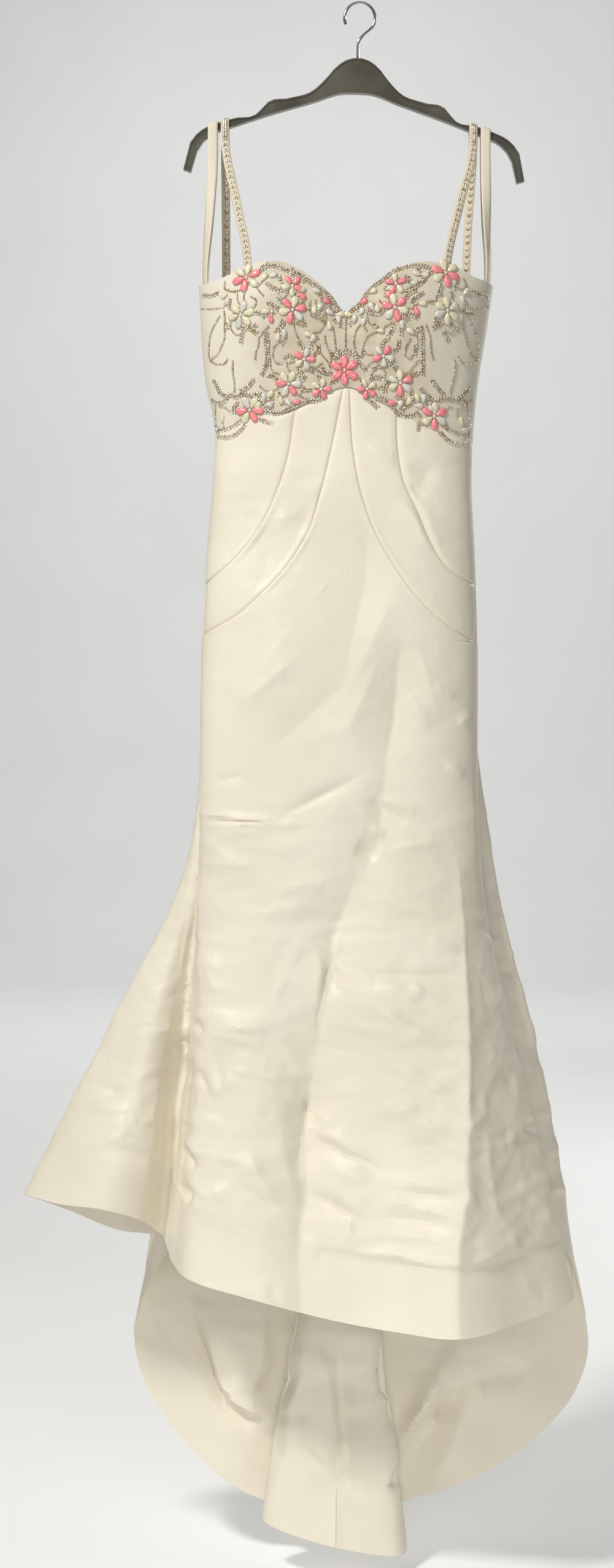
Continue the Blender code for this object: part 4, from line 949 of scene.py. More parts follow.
def panel(name, around, height, sewn="lrtb", creases=CREASES, material=satin, wall=WALL,
          lift=0.0, calm=0.0, slot="satin", rests_on=("hanger_body",), coarse_by=3):
    """The letters of sewn are its sewn edges: left, right, top, bottom, and h for a turned hem. A
    capital is a seam that ends where the pleat opens. Calm takes the crumples away.
    """
    points = gown(around, height)
    out = outward(around, height)
    move, left, top = cloth_lift(points, out, sewn, creases, calm)
    points = points + out * (move + lift)[..., None]
    piece = thin_shell("cloth_" + name, points, wall, coarse_by)
    piece.data.set_sharp_from_angle(angle=math.radians(SHARP_FOLD))
    piece.data.materials.append(material)
    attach(piece, "root")
    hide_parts(name)


# %% [markdown]
# ## Skirt
# The skirt's front centre is one long piece: a narrow tongue at the waist, then wider and wider
# between two curved seams, and below the knee the whole front. It is cut in one so that the
# satin has no seam where the folds start. The columns crowd where the hem turns sharply.

# %% The front centre of the skirt
# The columns start evenly spaced around the knee and end evenly spaced along the hem. They get
# there in this share of the way down, and the hem is measured at this many places.
FANNED = 1 / 1.6
HEM_STEPS = 2001


def even_hem(start, end, count):
    """Ways around the gown that are evenly spaced along the hem."""
    fine = np.linspace(start, end, 4000)
    walk = hem_walk(fine)
    return np.interp(np.linspace(walk[0], walk[-1], count), walk, fine)


def below_knee(start, end, columns, rows):
    """Places from the row above the knee (a height per column) down to the hem."""
    shares = spread(columns)
    hem = even_hem(start, end, HEM_STEPS)
    far = np.interp(shares, np.linspace(0, 1, HEM_STEPS), hem)
    near = start + (end - start) * shares
    down = np.linspace(0, 1, rows)[:, None]
    around = near + (far - near) * np.clip(down / FANNED, 0, 1)
    height = np.broadcast_to(KNEE - down * SKIRT_SPAN, around.shape)
    return around, height


def front_centre(columns=266, upper=84, middle=30, lower=200):
    """Grids for the tongue, the part above the knee and the part below it."""
    shares = spread(columns)
    inner = [seam(rows, upper, end) for rows, end in
             ((INNER_SEAM_LEFT, -1.0), (INNER_SEAM_RIGHT, 1.0))]
    grids = [[inner[0][:, k, None] * (1 - shares) + inner[1][:, k, None] * shares for k in (0, 1)]]
    ends = SEAM_END_INNER[0] + (SEAM_END_INNER[1] - SEAM_END_INNER[0]) * shares
    down = np.linspace(0, 1, middle)[1:-1, None]
    grids.append([np.broadcast_to(shares * 2 - 1, (middle - 2, columns)),
                  ends + (KNEE - ends) * down])
    grids.append(below_knee(-1.0, 1.0, columns, lower))
    return [np.concatenate([grid[k] for grid in grids]) for k in (0, 1)]


panel("skirt_front_centre", *front_centre(), sewn="lrth")

# %% [markdown]
# The mid fronts and side fronts fill the space between the curved seams and the waist. They lie
# close to the hips, so they are nearly smooth, with short pulls that start at the seams.

# %% The mid and side fronts
def between(edge_a, edge_b, columns):
    """Grids straight across between two edges of places."""
    shares = spread(columns, 3)
    return [edge_a[:, k, None] * (1 - shares) + edge_b[:, k, None] * shares for k in (0, 1)]


def mid_and_side(side, end, waist, rows=74):
    """The grids of one mid front and one side front."""
    inner_rows, outer_rows = ((INNER_SEAM_LEFT, OUTER_SEAM_LEFT),
                              (INNER_SEAM_RIGHT, OUTER_SEAM_RIGHT))[side]
    inner, outer = seam(inner_rows, rows, end), seam(outer_rows, rows, end)
    mid = between(outer, inner, 44)
    mid[1][0] = edge_height(WAIST, mid[0][0])
    side_line = places(np.full(rows, end), np.linspace(waist, SEAM_END_OUTER[side], rows))
    flank = between(side_line, outer, 44)
    flank[1][0] = edge_height(WAIST, flank[0][0])
    if side == 1:
        mid, flank = [[grid[:, ::-1] for grid in pair] for pair in (mid, flank)]
    return mid, flank


for side, name, end, waist in ((0, "left", -1.0, WAIST_LEFT), (1, "right", 1.0, WAIST_RIGHT)):
    mid, flank = mid_and_side(side, end, waist)
    panel("skirt_front_mid_" + name, *mid)
    panel("skirt_front_side_" + name, *flank)

# %% [markdown]
# The two backs run from the waist to the train. The photo shows only the inside of the train,
# below the front hem, so its creases are taken from there with their sign turned. Higher up the
# back gets creases like the front's, mirrored.

# %% The backs and the train
# The front's creases above this height are used again: weaker, mirrored and a little higher
MIRROR_LOWEST = -1450
MIRROR_DEPTH = 0.7
MIRROR_SUM = -55
MIRROR_RISE = 40
BACK_CREASES = tuple((name, -depth, width, *line) for name, depth, width, *line in TRAIN_CREASES)
BACK_CREASES += tuple(
    (name, depth * MIRROR_DEPTH, width, *((MIRROR_SUM - x, z + MIRROR_RISE) for x, z in line))
    for name, depth, width, *line in CREASES if line[0][1] > MIRROR_LOWEST)


def back(start, waist, columns=192, upper=48, lower=180):
    """Grids of one back, from the waist to the hem of the train."""
    shares = spread(columns)
    line = waist + (WAIST_MIDDLE - waist) * (shares if start == 1.0 else 1 - shares)
    down = np.linspace(0, 1, upper)[:-1, None]
    above = [np.broadcast_to(start + shares, (upper - 1, columns)), line + (KNEE - line) * down]
    low = below_knee(start, start + 1.0, columns, lower)
    return [np.concatenate([above[k], low[k]]) for k in (0, 1)]


panel("skirt_back_right", *back(1.0, WAIST_RIGHT), sewn="lRth", creases=BACK_CREASES, coarse_by=1)
panel("skirt_back_left", *back(2.0, WAIST_LEFT), sewn="Lrth", creases=BACK_CREASES, coarse_by=1)

# %% [markdown]
# ## Bodice
# The bodice front has a centre panel between two bust seams and two side fronts. The net lies
# over all three and carries every bead, so the satin below it shows only inside the neckline.

# %% The bodice
def bodice_grid(lines, rows):
    """Grids from the neckline to the waist at the given ways around the front."""
    top = edge_height(NECKLINE, lines)
    low = edge_height(WAIST, lines)
    shares = spread(rows, 3)[:, None]
    return np.broadcast_to(lines, (rows, len(lines))), top + (low - top) * shares


def waist_at(rows):
    """Way around the front where a skirt seam meets the waist."""
    return float(front_around(rows["x"][0], rows["z"][0]))


BUST_LEFT = waist_at(OUTER_SEAM_LEFT)
BUST_RIGHT = waist_at(OUTER_SEAM_RIGHT)
CALM = {"creases": (), "calm": 1.0}
for name, start, end, columns in (
        ("bodice_front_side_left", -1.0, BUST_LEFT, 34),
     ("bodice_front_centre", BUST_LEFT, BUST_RIGHT, 90),
        ("bodice_front_side_right", BUST_RIGHT, 1.0, 34)):
    across = start + (end - start) * spread(columns, 3)
    panel(name, *bodice_grid(across, 60), **CALM)

for name, start, waist in (("bodice_back_right", 1.0, WAIST_RIGHT),
                           ("bodice_back_left", 2.0, WAIST_LEFT)):
    across = start + spread(60)
    top = back_neck(across)
    low = waist + (WAIST_MIDDLE - waist) * (across - start if start == 1.0 else start + 1 - across)
    shares = spread(56)[:, None]
    panel(name, np.broadcast_to(across, (56, 60)), top + (low - top) * shares,
          creases=BACK_CREASES)

# %% The net over the front
NET_OUT = 0.55
net_lines = np.concatenate((np.linspace(-1, BUST_LEFT, 60)[:-1],
                            np.linspace(BUST_LEFT, BUST_RIGHT, 110)[:-1],
                            np.linspace(BUST_RIGHT, 1, 60)))
panel("bodice_net_overlay", *bodice_grid(net_lines, 100), sewn="lr", **CALM, material=net_cloth,
      wall=0.4, lift=NET_OUT, slot="bead_net", rests_on=("cloth_bodice_front_centre",))

# %% [markdown]
# ## Beadwork
# The bodice is embroidered with three kinds of bead: round seed beads threaded in curling lines,
# slanted pairs of long beads that look like ears of wheat, and glazed teardrop petals sewn round
# a small stone to make flowers. Thousands of separate objects would be slow, so each kind is
# copied by arithmetic into one mesh. Every bead is set down on the net, along the direction
# that points straight out of it.

# %% Places on the net
BEAD_SEAT = NET_OUT + 0.1


def on_net(x, z, lift=0.0):
    """Places on the net as seen from the front, and the outward direction there."""
    x, z = np.atleast_1d(np.asarray(x, float)), np.atleast_1d(np.asarray(z, float))
    around = np.clip(front_around(x, z), -0.995, 0.995)
    out = outward(around, z)
    return gown(around, z) + out * (BEAD_SEAT + lift), out


def ball(segments=6, rings=4):
    """Points and faces of a small ball with radius 1."""
    points = [(0.0, 0.0, 1.0)]
    for j in range(1, rings):
        tilt = math.pi * j / rings
        points += [(math.sin(tilt) * math.cos(2 * math.pi * k / segments),
                    math.sin(tilt) * math.sin(2 * math.pi * k / segments), math.cos(tilt))
                   for k in range(segments)]
    points.append((0.0, 0.0, -1.0))
    faces = [(0, 1 + k, 1 + (k + 1) % segments) for k in range(segments)]
    for j in range(rings - 2):
        a, b = 1 + j * segments, 1 + (j + 1) * segments
        faces += [(a + k, b + k, b + (k + 1) % segments, a + (k + 1) % segments)
                  for k in range(segments)]
    last = len(points) - 1
    low = 1 + (rings - 2) * segments
    faces += [(last, low + (k + 1) % segments, low + k) for k in range(segments)]
    return np.array(points), faces


def frames(along, out):
    """Three directions at each bead: its length, its width and straight out of the cloth."""
    width = unit(np.cross(out, along))
    length = unit(np.cross(width, out))
    return np.stack([length, width, out], axis=1)


def scatter(name, shape, at, turned, sizes, material, slot="bead_net"):
    """One object with a copy of a shape at each place."""
    base, faces = shape
    at, sizes = np.asarray(at), np.asarray(sizes)
    copies = np.einsum("pk,nk,nkj->npj", base, sizes, turned) + at[:, None]
    count = len(base)
    all_faces = [tuple(i + count * n for i in face) for n in range(len(at)) for face in faces]
    piece = mesh_object(name, copies.reshape(-1, 3) * MM, all_faces)
    piece.data.materials.append(material)
    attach(piece, "root")
    print(name, len(at), "copies")
    return piece


# %% Lines of beads, as seen from the front
STRINGS = (
    ("neck edge left", "leaf", (-127, -359), (-115, -358), (-103, -361), (-90, -367), (-78, -371),
     (-69, -378), (-58, -385), (-47, -393), (-38, -401), (-32, -410), (-24, -417)),
    ("neck corner left", "leaf", (-204, -387), (-195, -390), (-185, -389)),
    ("brow curl left", "seed", (-175, -375), (-175, -384), (-168, -388), (-159, -388)),
    ("side line left", "seed", (-205, -404), (-195, -407), (-182, -408), (-177, -408)),
    ("cup spiral left", "seed", (-159, -393), (-158, -402), (-153, -410), (-145, -413),
     (-136, -410), (-135, -402), (-141, -398)),
    ("cup arc left", "leaf", (-121, -381), (-115, -387), (-106, -391), (-96, -391), (-90, -396)),
    ("cup stem left", "leaf", (-90, -388), (-87, -398), (-86, -408)),
    ("oval outer left", "seed", (-182, -419), (-190, -431), (-195, -444), (-196, -456),
     (-196, -468), (-190, -477), (-182, -480), (-175, -479), (-172, -474)),
    ("oval inner left", "seed", (-176, -413), (-175, -425), (-176, -437), (-175, -444),
     (-179, -456), (-185, -467), (-195, -473)),
    ("side vine left", "seed", (-175, -425), (-167, -437), (-161, -444), (-153, -445)),
    ("sprig side left", "leaf", (-149, -433), (-135, -444)),
    ("sprig low left", "leaf", (-150, -436), (-154, -454)),
    ("drop left", "seed", (-119, -437), (-127, -445), (-131, -450), (-132, -459), (-135, -467),
     (-136, -476)),
    ("stem left", "leaf", (-121, -444), (-122, -456), (-120, -468), (-121, -479)),
    ("stem curl left", "seed", (-118, -453), (-119, -467), (-117, -477), (-115, -491), (-104, -497)),
    ("sprig stem left", "leaf", (-121, -483), (-127, -496)),
    ("loop left", "seed", (-107, -456), (-112, -462), (-113, -476), (-109, -482), (-103, -483)),
    ("sprig cup left", "leaf", (-99, -433), (-109, -444)),
    ("drop cup left", "seed", (-87, -431), (-86, -441), (-81, -451)),
    ("sprig bust left", "leaf", (-119, -407), (-112, -411), (-106, -416)),
    ("ring left", "seed", (-66, -404), (-67, -413), (-63, -424), (-53, -425), (-47, -419),
     (-46, -411), (-50, -404)),
    ("ring tail left", "seed", (-46, -418), (-47, -431), (-53, -442), (-63, -445)),
    ("fan one left", "seed", (-47, -448), (-46, -457), (-40, -471), (-38, -480)),
    ("fan two left", "seed", (-37, -437), (-34, -453), (-32, -467), (-26, -473)),
    ("fan middle", "seed", (-19, -424), (-20, -437), (-20, -453), (-20, -467)),
    ("fan three left", "seed", (-55, -465), (-50, -473), (-44, -480), (-40, -488)),
    ("scroll left", "seed", (-96, -483), (-86, -481), (-75, -483), (-64, -487), (-57, -491),
     (-50, -496), (-44, -497)),
    ("scroll inner left", "seed", (-75, -502), (-76, -494), (-69, -492), (-60, -496), (-53, -500)),
    ("crown left", "leaf", (-38, -483), (-30, -468), (-23, -471), (-15, -473)),
    ("low edge one left", "leaf", (-193, -523), (-185, -528), (-178, -528), (-168, -520),
     (-161, -523), (-152, -520), (-144, -522), (-136, -526), (-127, -534), (-121, -543),
     (-112, -546), (-103, -546), (-96, -542)),
    ("low edge two left", "leaf", (-96, -542), (-84, -537), (-75, -533), (-66, -531), (-58, -531),
     (-50, -528)),
    ("middle drop left", "seed", (-165, -477), (-165, -493), (-163, -506), (-163, -516)),
    ("low sprig one left", "leaf", (-190, -500), (-184, -511), (-181, -517), (-173, -521)),
    ("low sprig two left", "leaf", (-138, -503), (-145, -511), (-155, -516)),
    ("side edge left", "seed", (-188, -529), (-188, -545), (-187, -560), (-184, -568)),
    ("hip line one left", "leaf", (-187, -563), (-175, -563), (-165, -560), (-158, -556), (-152, -551)),
    ("hip line two left", "leaf", (-184, -571), (-173, -574), (-162, -571), (-155, -566), (-150, -560)),
    ("hip sprig left", "leaf", (-133, -552), (-124, -556), (-114, -559)),
    ("hip curl left", "seed", (-182, -533), (-173, -536), (-170, -540)),
    ("waist link left", "seed", (-130, -511), (-124, -516), (-115, -517), (-107, -514)),
    ("waist beads left", "seed", (-81, -523), (-75, -526), (-66, -529)),
    ("neck edge right", "leaf", (-15, -417), (-7, -411), (1, -404), (8, -393), (20, -382),
     (31, -374), (42, -365), (56, -360), (69, -358), (83, -359), (92, -362)),
    ("neck corner right", "leaf", (143, -387), (153, -389), (166, -390)),
    ("side line right", "seed", (137, -405), (146, -407), (158, -407), (166, -402)),
    ("brow ring right", "seed", (132, -371), (135, -381), (129, -385), (120, -382)),
    ("cup spiral right", "seed", (103, -394), (97, -397), (95, -405), (102, -413)),
    ("cup arc right", "leaf", (59, -390), (68, -387), (77, -381), (82, -376)),
    ("cup stem right", "leaf", (43, -388), (42, -397), (43, -407)),
    ("oval outer right", "seed", (137, -419), (144, -431), (150, -443), (153, -457), (153, -469),
     (150, -475), (141, -480), (131, -478), (126, -472)),
    ("oval inner right", "seed", (132, -407), (131, -419), (131, -431), (134, -443), (138, -457),
     (144, -468), (152, -472)),
    ("side vine right", "seed", (132, -428), (124, -436), (117, -442), (108, -440)),
    ("sprig side right", "leaf", (105, -429), (92, -438)),
    ("sprig low right", "leaf", (106, -443), (112, -452)),
    ("stem right", "leaf", (77, -437), (79, -452), (79, -468), (80, -483), (80, -496)),
    ("stem two right", "seed", (71, -443), (72, -459), (70, -471)),
    ("drop right", "seed", (83, -434), (88, -449), (89, -462), (92, -475)),
    ("loop right", "seed", (63, -452), (57, -465), (56, -472), (63, -476), (68, -468), (68, -459)),
    ("stem curl right", "seed", (74, -478), (68, -486), (59, -495), (53, -498)),
    ("ring right", "seed", (10, -407), (10, -416), (17, -422), (27, -420), (30, -413), (24, -404)),
    ("ring tail right", "seed", (8, -419), (10, -431), (17, -436), (22, -440)),
    ("fan three right", "seed", (22, -442), (7, -451), (2, -465), (1, -475)),
    ("fan two right", "seed", (-1, -434), (-7, -443), (-9, -455), (-7, -468), (-5, -472)),
    ("drop cup right", "leaf", (43, -433), (40, -442), (36, -448)),
    ("scroll right", "seed", (7, -488), (16, -480), (27, -475), (37, -480), (46, -486)),
    ("scroll inner right", "seed", (13, -498), (17, -491), (27, -489), (31, -495), (30, -503),
     (36, -506)),
    ("low edge two right", "leaf", (19, -527), (31, -529), (37, -533), (45, -544), (54, -549),
     (65, -549), (72, -546)),
    ("low edge one right", "leaf", (77, -514), (86, -523), (94, -530), (103, -527), (112, -526),
     (121, -527), (129, -526), (138, -529)),
    ("low sprig one right", "leaf", (92, -504), (100, -514), (106, -520)),
    ("low sprig two right", "leaf", (141, -509), (134, -518), (127, -523)),
    ("middle drop right", "seed", (121, -477), (121, -492), (117, -509), (115, -518)),
    ("side edge right", "seed", (146, -523), (140, -530), (141, -544), (143, -559), (141, -570),
     (135, -581), (123, -582)),
    ("hip line one right", "leaf", (103, -558), (112, -564), (123, -569), (135, -572)),
    ("hip line two right", "leaf", (102, -569), (109, -576), (117, -582), (126, -584)),
    ("hip sprig right", "leaf", (73, -566), (76, -558), (84, -559)),
    ("hip curl right", "seed", (123, -546), (127, -535), (135, -533)),
    ("sprig bust right", "leaf", (65, -405), (71, -400), (79, -394)),
    ("sprig cup right", "leaf", (50, -420), (56, -425), (60, -429)),
    ("crown right", "leaf", (-30, -472), (-16, -468), (-9, -472), (-4, -480), (5, -492)),
    ("waist sprig right", "leaf", (7, -529), (14, -533), (21, -539)),
    ("waist loop right", "seed", (62, -520), (68, -523), (68, -529), (62, -536), (51, -541)),
)

# %% Threading the lines
rng = np.random.default_rng(7)
SEED_PITCH = 3.0
SEED_RADIUS = 1.4
LEAF_PITCH = 3.8
LEAF_SIZE = (2.7, 1.2, 1.1)
LEAF_SLANT = math.radians(34)
# How far the long beads of a pair stand apart, how far they are staggered and how high they sit
LEAF_APART = 1.55
LEAF_STAGGER = 0.5
LEAF_RISE = 0.6


def thread(line, pitch):
    """Evenly spaced places on a smooth curve through a line of points."""
    line = np.array(line, float)
    walk = np.concatenate(([0.0], np.cumsum(np.hypot(*np.diff(line, axis=0).T))))
    at = np.linspace(0, walk[-1], max(2, int(round(walk[-1] / pitch)) + 1))
    return smooth(at, walk, line[:, 0]), smooth(at, walk, line[:, 1])


def chain(points, out):
    """Frames of beads that follow one another."""
    return frames(np.gradient(points, axis=0), out)


def bead_store():
    """A place to keep beads until their mesh is made."""
    return {"at": [], "turned": [], "size": []}


def kept(store, which=slice(None)):
    """The places, directions and sizes of the beads in a store."""
    return [np.array(store[key])[which] for key in ("at", "turned", "size")]


seeds, leaves = bead_store(), bead_store()


def lay(store, at, turned, sizes):
    """Keeps beads for the mesh that is made later."""
    store["at"].extend(at)
    store["turned"].extend(turned)
    store["size"].extend(sizes)


def seed_line(line, radius=SEED_RADIUS):
    """Round beads in a row."""
    xs, zs = thread(line, SEED_PITCH)
    at, out = on_net(xs, zs, radius * 0.7)
    grow = radius * rng.uniform(0.86, 1.1, (len(at), 1))
    lay(seeds, at, chain(at, out), np.hstack([grow, grow, grow]))


def leaf_line(line):
    """Slanted beads on both sides of a row, as on an ear of wheat."""
    xs, zs = thread(line, LEAF_PITCH)
    at, out = on_net(xs, zs, LEAF_RISE)
    turned = chain(at, out)
    for side in (-1.0, 1.0):
        slant = LEAF_SLANT * side
        length = turned[:, 0] * math.cos(slant) + turned[:, 1] * math.sin(slant)
        moved = at + turned[:, 1] * side * LEAF_APART + turned[:, 0] * LEAF_STAGGER * side
        grow = np.array(LEAF_SIZE) * rng.uniform(0.85, 1.12, (len(at), 1))
        lay(leaves, moved, frames(length, out), grow)


for _, kind, *line in STRINGS:
    (seed_line if kind == "seed" else leaf_line)(line)
print("seed beads", len(seeds["at"]), "long beads", len(leaves["at"]))

# %% Sprigs between the lines
def on_bodice(x, z, margin=4.0):
    """Whether a place is well inside the net's edges."""
    around = front_around(np.array([x]), np.array([z]))
    top, low = edge_height(NECKLINE, around)[0], edge_height(WAIST, around)[0]
    return abs(float(around[0])) < 0.9 and low + margin < z < top - margin


LEAF_SPRIGS = 0.7


def away_from(x, z, degrees, far):
    """The place at a distance and an angle from another."""
    return x + far * math.cos(math.radians(degrees)), z + far * math.sin(math.radians(degrees))


def sprig(x, z, degrees, length, bend):
    """A short curved line of beads, left out where it would cross the net's edge."""
    line = [away_from(x, z, degrees + bend * share, length * share) for share in np.linspace(0, 1, 4)]
    if all(on_bodice(*place) for place in line):
        (leaf_line if rng.random() < LEAF_SPRIGS else seed_line)(line)


# %% [markdown]
# A petal bead is a flat-backed drop: pointed towards the middle of its flower, round outside and
# domed in front. Pink ones mix with cream and greyish ones, and each flower has its own mix.

# %% Petals
def drop(segments=18):
    """A teardrop with its round end at +1 on the first axis, its back flat and its front domed."""
    angles = np.linspace(0, 2 * math.pi, segments, endpoint=False)
    narrow = (0.5 + 0.5 * np.cos(angles)) ** 0.62
    outline = np.stack([np.cos(angles), np.sin(angles) * (0.28 + 0.72 * narrow)], axis=1)
    rings = ((0.98, 0.0), (1.0, 0.25), (0.9, 0.62), (0.62, 0.9), (0.3, 0.99))
    points = [(outline[k, 0] * share + (1 - share) * 0.12, outline[k, 1] * share, rise)
              for share, rise in rings for k in range(segments)]
    points.append((0.12, 0.0, 1.02))
    faces = []
    for r in range(len(rings) - 1):
        a, b = r * segments, (r + 1) * segments
        faces += [(a + k, a + (k + 1) % segments, b + (k + 1) % segments, b + k)
                  for k in range(segments)]
    top = (len(rings) - 1) * segments
    faces += [(top + k, top + (k + 1) % segments, len(points) - 1) for k in range(segments)]
    return np.array(points), faces


PETAL_KINDS = {"p": "pink", "c": "cream", "w": "pale"}
FLOWERS = (
    ("brow_left", -147, -372, 17, 20, "pccppc"), ("brow_right", 109, -366, 17, 40, "ccpcpp"),
    ("cup_top_left", -88, -385, 13, 50, "ppccp"), ("cup_top_right", 45, -382, 13, 95, "cppcp"),
    ("cup_left", -88, -416, 16, 15, "pcpcpw"), ("cup_right", 44, -413, 16, 45, "pcpwpc"),
    ("side_left", -154, -420, 16, 10, "cwccwc"), ("side_right", 111, -415, 16, 30, "wccwcc"),
    ("under_cup_left", -73, -478, 13, 70, "wpcwp"), ("under_cup_right", 29, -474, 13, 60, "pwpww"),
    ("waist_left", -93, -509, 15, 0, "wccpwp"), ("waist_right", 51, -508, 15, 30, "pcwcpw"),
    ("centre_left", -51, -516, 12, 0, "pccpp"), ("centre_right", 8, -516, 12, 40, "ccppp"),
    ("centre", -21, -492, 17, 30, "pppppp"), ("hip_left", -143, -541, 16, 0, "pcwpcp"),
    ("hip_right", 95, -549, 16, 30, "pcpcpw"),
)
SINGLE_PETALS = (
    (-176, -393, "cream", 200), (-173, -402, "pale", 60), (-124, -373, "cream", 60),
    (-113, -371, "pale", 30), (-97, -385, "pale", 10), (-122, -418, "cream", 180),
    (-116, -427, "pink", 285), (-107, -450, "cream", 260), (-99, -446, "pale", 95),
    (-67, -447, "cream", 170), (-62, -452, "pale", 60), (-60, -415, "cream", 260),
    (-53, -412, "pale", 60), (-44, -404, "pink", 150), (-40, -418, "pale", 150),
    (-29, -427, "pale", 95), (-27, -420, "cream", 10), (-41, -435, "cream", 280),
    (-57, -391, "pale", 160), (-77, -390, "pale", 0), (-76, -398, "pink", 330),
    (-125, -525, "pale", 95), (-117, -522, "cream", 45), (-118, -535, "pale", 0),
    (-103, -529, "cream", 280), (-93, -533, "pale", 130), (-83, -532, "pink", 5),
    (-179, -549, "cream", 100), (-181, -559, "pale", 0), (-133, -536, "cream", 50),
    (136, -388, "cream", 50), (131, -399, "pale", 100), (72, -369, "pale", 160),
    (82, -370, "cream", 0), (68, -381, "pale", 20), (79, -408, "cream", 10),
    (71, -417, "pink", 285), (53, -435, "pale", 100), (64, -443, "cream", 150),
    (25, -442, "cream", 0), (14, -411, "pale", 110), (21, -413, "cream", 280),
    (4, -404, "pink", 40), (1, -417, "pale", 60), (-8, -426, "pale", 80),
    (3, -431, "pale", 70), (16, -391, "cream", 30), (36, -395, "pink", 240),
    (37, -388, "pale", 20), (73, -526, "cream", 110), (81, -527, "pale", 80),
    (75, -536, "pale", 0), (92, -540, "pale", 150), (62, -531, "cream", 60),
    (51, -535, "pale", 70), (40, -533, "pink", 175), (131, -553, "cream", 100),
    (135, -564, "pale", 0), (-16, -420, "cream", 170), (-26, -420, "cream", 10),
)
PETAL_TALL = 3.3
PETAL_RISE = 0.15
# Shares of a flower's reach: how far out its petals' middles are, and half their length and width
PETAL_AWAY, PETAL_LONG, PETAL_WIDE = 0.63, 0.51, 0.38
SINGLE_LONG, SINGLE_WIDE = 6.0, 4.7
# Three seed beads stand between two petals, at these shares of the reach
BETWEEN_PETALS = (0.34, 0.48, 0.62)
BETWEEN_RADIUS = 0.95
STONE_SIZE = (2.3, 2.3, 1.9)
STONE_RISE = 1.2
SPRIGS = 5
# Single petals get a sprig only between these places, away from the side seams
SPRIGS_LEFT, SPRIGS_RIGHT = -160, 125
petals = {kind: bead_store() for kind in PETAL_FINISH}
stones = bead_store()


def petal(kind, x, z, degrees, half_length, half_width):
    """One petal bead at a place, its round end in the direction given."""
    at, out = on_net(x, z, PETAL_RISE)
    beside, _ = on_net(*away_from(x, z, degrees, 1), PETAL_RISE)
    tall = PETAL_TALL * rng.uniform(0.9, 1.1)
    grow = rng.uniform(0.94, 1.05)
    lay(petals[kind], at, frames(beside - at, out), [(half_length * grow, half_width * grow, tall)])


for name, x, z, reach, turn, mix in FLOWERS:
    for k, kind in enumerate(mix):
        degrees = turn + 360 * k / len(mix) + rng.uniform(-5, 5)
        petal(PETAL_KINDS[kind], *away_from(x, z, degrees, reach * PETAL_AWAY), degrees,
              reach * PETAL_LONG, reach * PETAL_WIDE)
        small = degrees + 180 / len(mix)
        seed_line([away_from(x, z, small, reach * share) for share in BETWEEN_PETALS], BETWEEN_RADIUS)
    at, out = on_net(x, z, STONE_RISE)
    lay(stones, at, frames(np.array([[1.0, 0.0, 0.1]]), out), [STONE_SIZE])
    for start in np.arange(0, 360, 360 / SPRIGS) + rng.uniform(0, 50):
        edge = reach * rng.uniform(1.02, 1.2)
        sprig(*away_from(x, z, start, edge), start + rng.uniform(-50, 50), rng.uniform(7, 15),
              rng.uniform(-60, 60))
for x, z, kind, degrees in SINGLE_PETALS:
    petal(kind, x, z, degrees, SINGLE_LONG, SINGLE_WIDE)
    if SPRIGS_LEFT < x < SPRIGS_RIGHT:
        sprig(x, z, degrees + 180 + rng.uniform(-40, 40), rng.uniform(9, 14), rng.uniform(-50, 50))
print("petal beads", {kind: len(store["at"]) for kind, store in petals.items()})

# %% Making the beads
pearl = ball()
for kind, store, gold_share in (("seed", seeds, 0.55), ("leaf", leaves, 0.6)):
    is_gold = rng.random(len(store["at"])) < gold_share
    scatter(kind + "_beads_champagne", pearl, *kept(store, is_gold), gold_bead)
    scatter(kind + "_beads_silver", pearl, *kept(store, ~is_gold), silver_bead)
petal_pieces = [scatter("petals_" + kind, drop(), *kept(store), PETAL_FINISH[kind], "petal")
                for kind, store in petals.items()]
scatter("flower_stones", ball(8, 4), *kept(stones), gem, "petal")
for name, *_ in FLOWERS:
    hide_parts("flower_" + name)

# %% [markdown]
# ## Straps and hanger tapes
# Each strap is a narrow band of net sewn with two rows of slanted beads. The tapes are plain
# woven loops that take the gown's weight off the straps. Both go up over an arm of the hanger
# and down the back, along the route of their CAD solids, but with many more points, so that
# they bend and twist smoothly.

# %% The hanger's upper edge, for the bands to lie on
HANGER_TOP = table("out z", (
    (0, -72), (14, -75), (28, -85), (42, -102), (56, -116), (88, -128), (120, -138), (126, -146),
    (160, -157), (184, -165), (203, -175), (215, -189), (222, -207), (224, -226),
))
HANGER_TILT = 2.0
HANGER_THICK = 10.0


def tilted(x, z):
    """A place on the level hanger, after the hanger has tilted about the hook."""
    tilt = math.radians(HANGER_TILT)
    return x * math.cos(tilt) + z * math.sin(tilt), z * math.cos(tilt) - x * math.sin(tilt)


def arm_top(x):
    """The height of the tilted hanger's upper edge at a place across the hanger."""
    outs = np.linspace(0, HANGER_TOP["out"][-1], 400)
    edge_x, edge_z = tilted(outs * np.sign(x), smooth(outs, HANGER_TOP["out"], HANGER_TOP["z"]))
    order = np.argsort(edge_x)
    return float(np.interp(x, edge_x[order], edge_z[order]))


# %% The route of a band over an arm
BAND_WALL = 1.6
LAYER_GAP = 0.3
# Free space between a band and the arm's flat sides
ARM_GAP = 0.4


def inside_place(around, height, depth):
    """A place that lies a given depth behind the outside of the cloth, and the way across it."""
    around = np.array([around])
    height = np.array([height])
    across = gown(around + 0.01, height) - gown(around - 0.01, height)
    across = across[0] * (1, 1, 0)
    across *= np.sign(across[0]) / np.linalg.norm(across)
    return (gown(around, height) - outward(around, height) * depth)[0], across


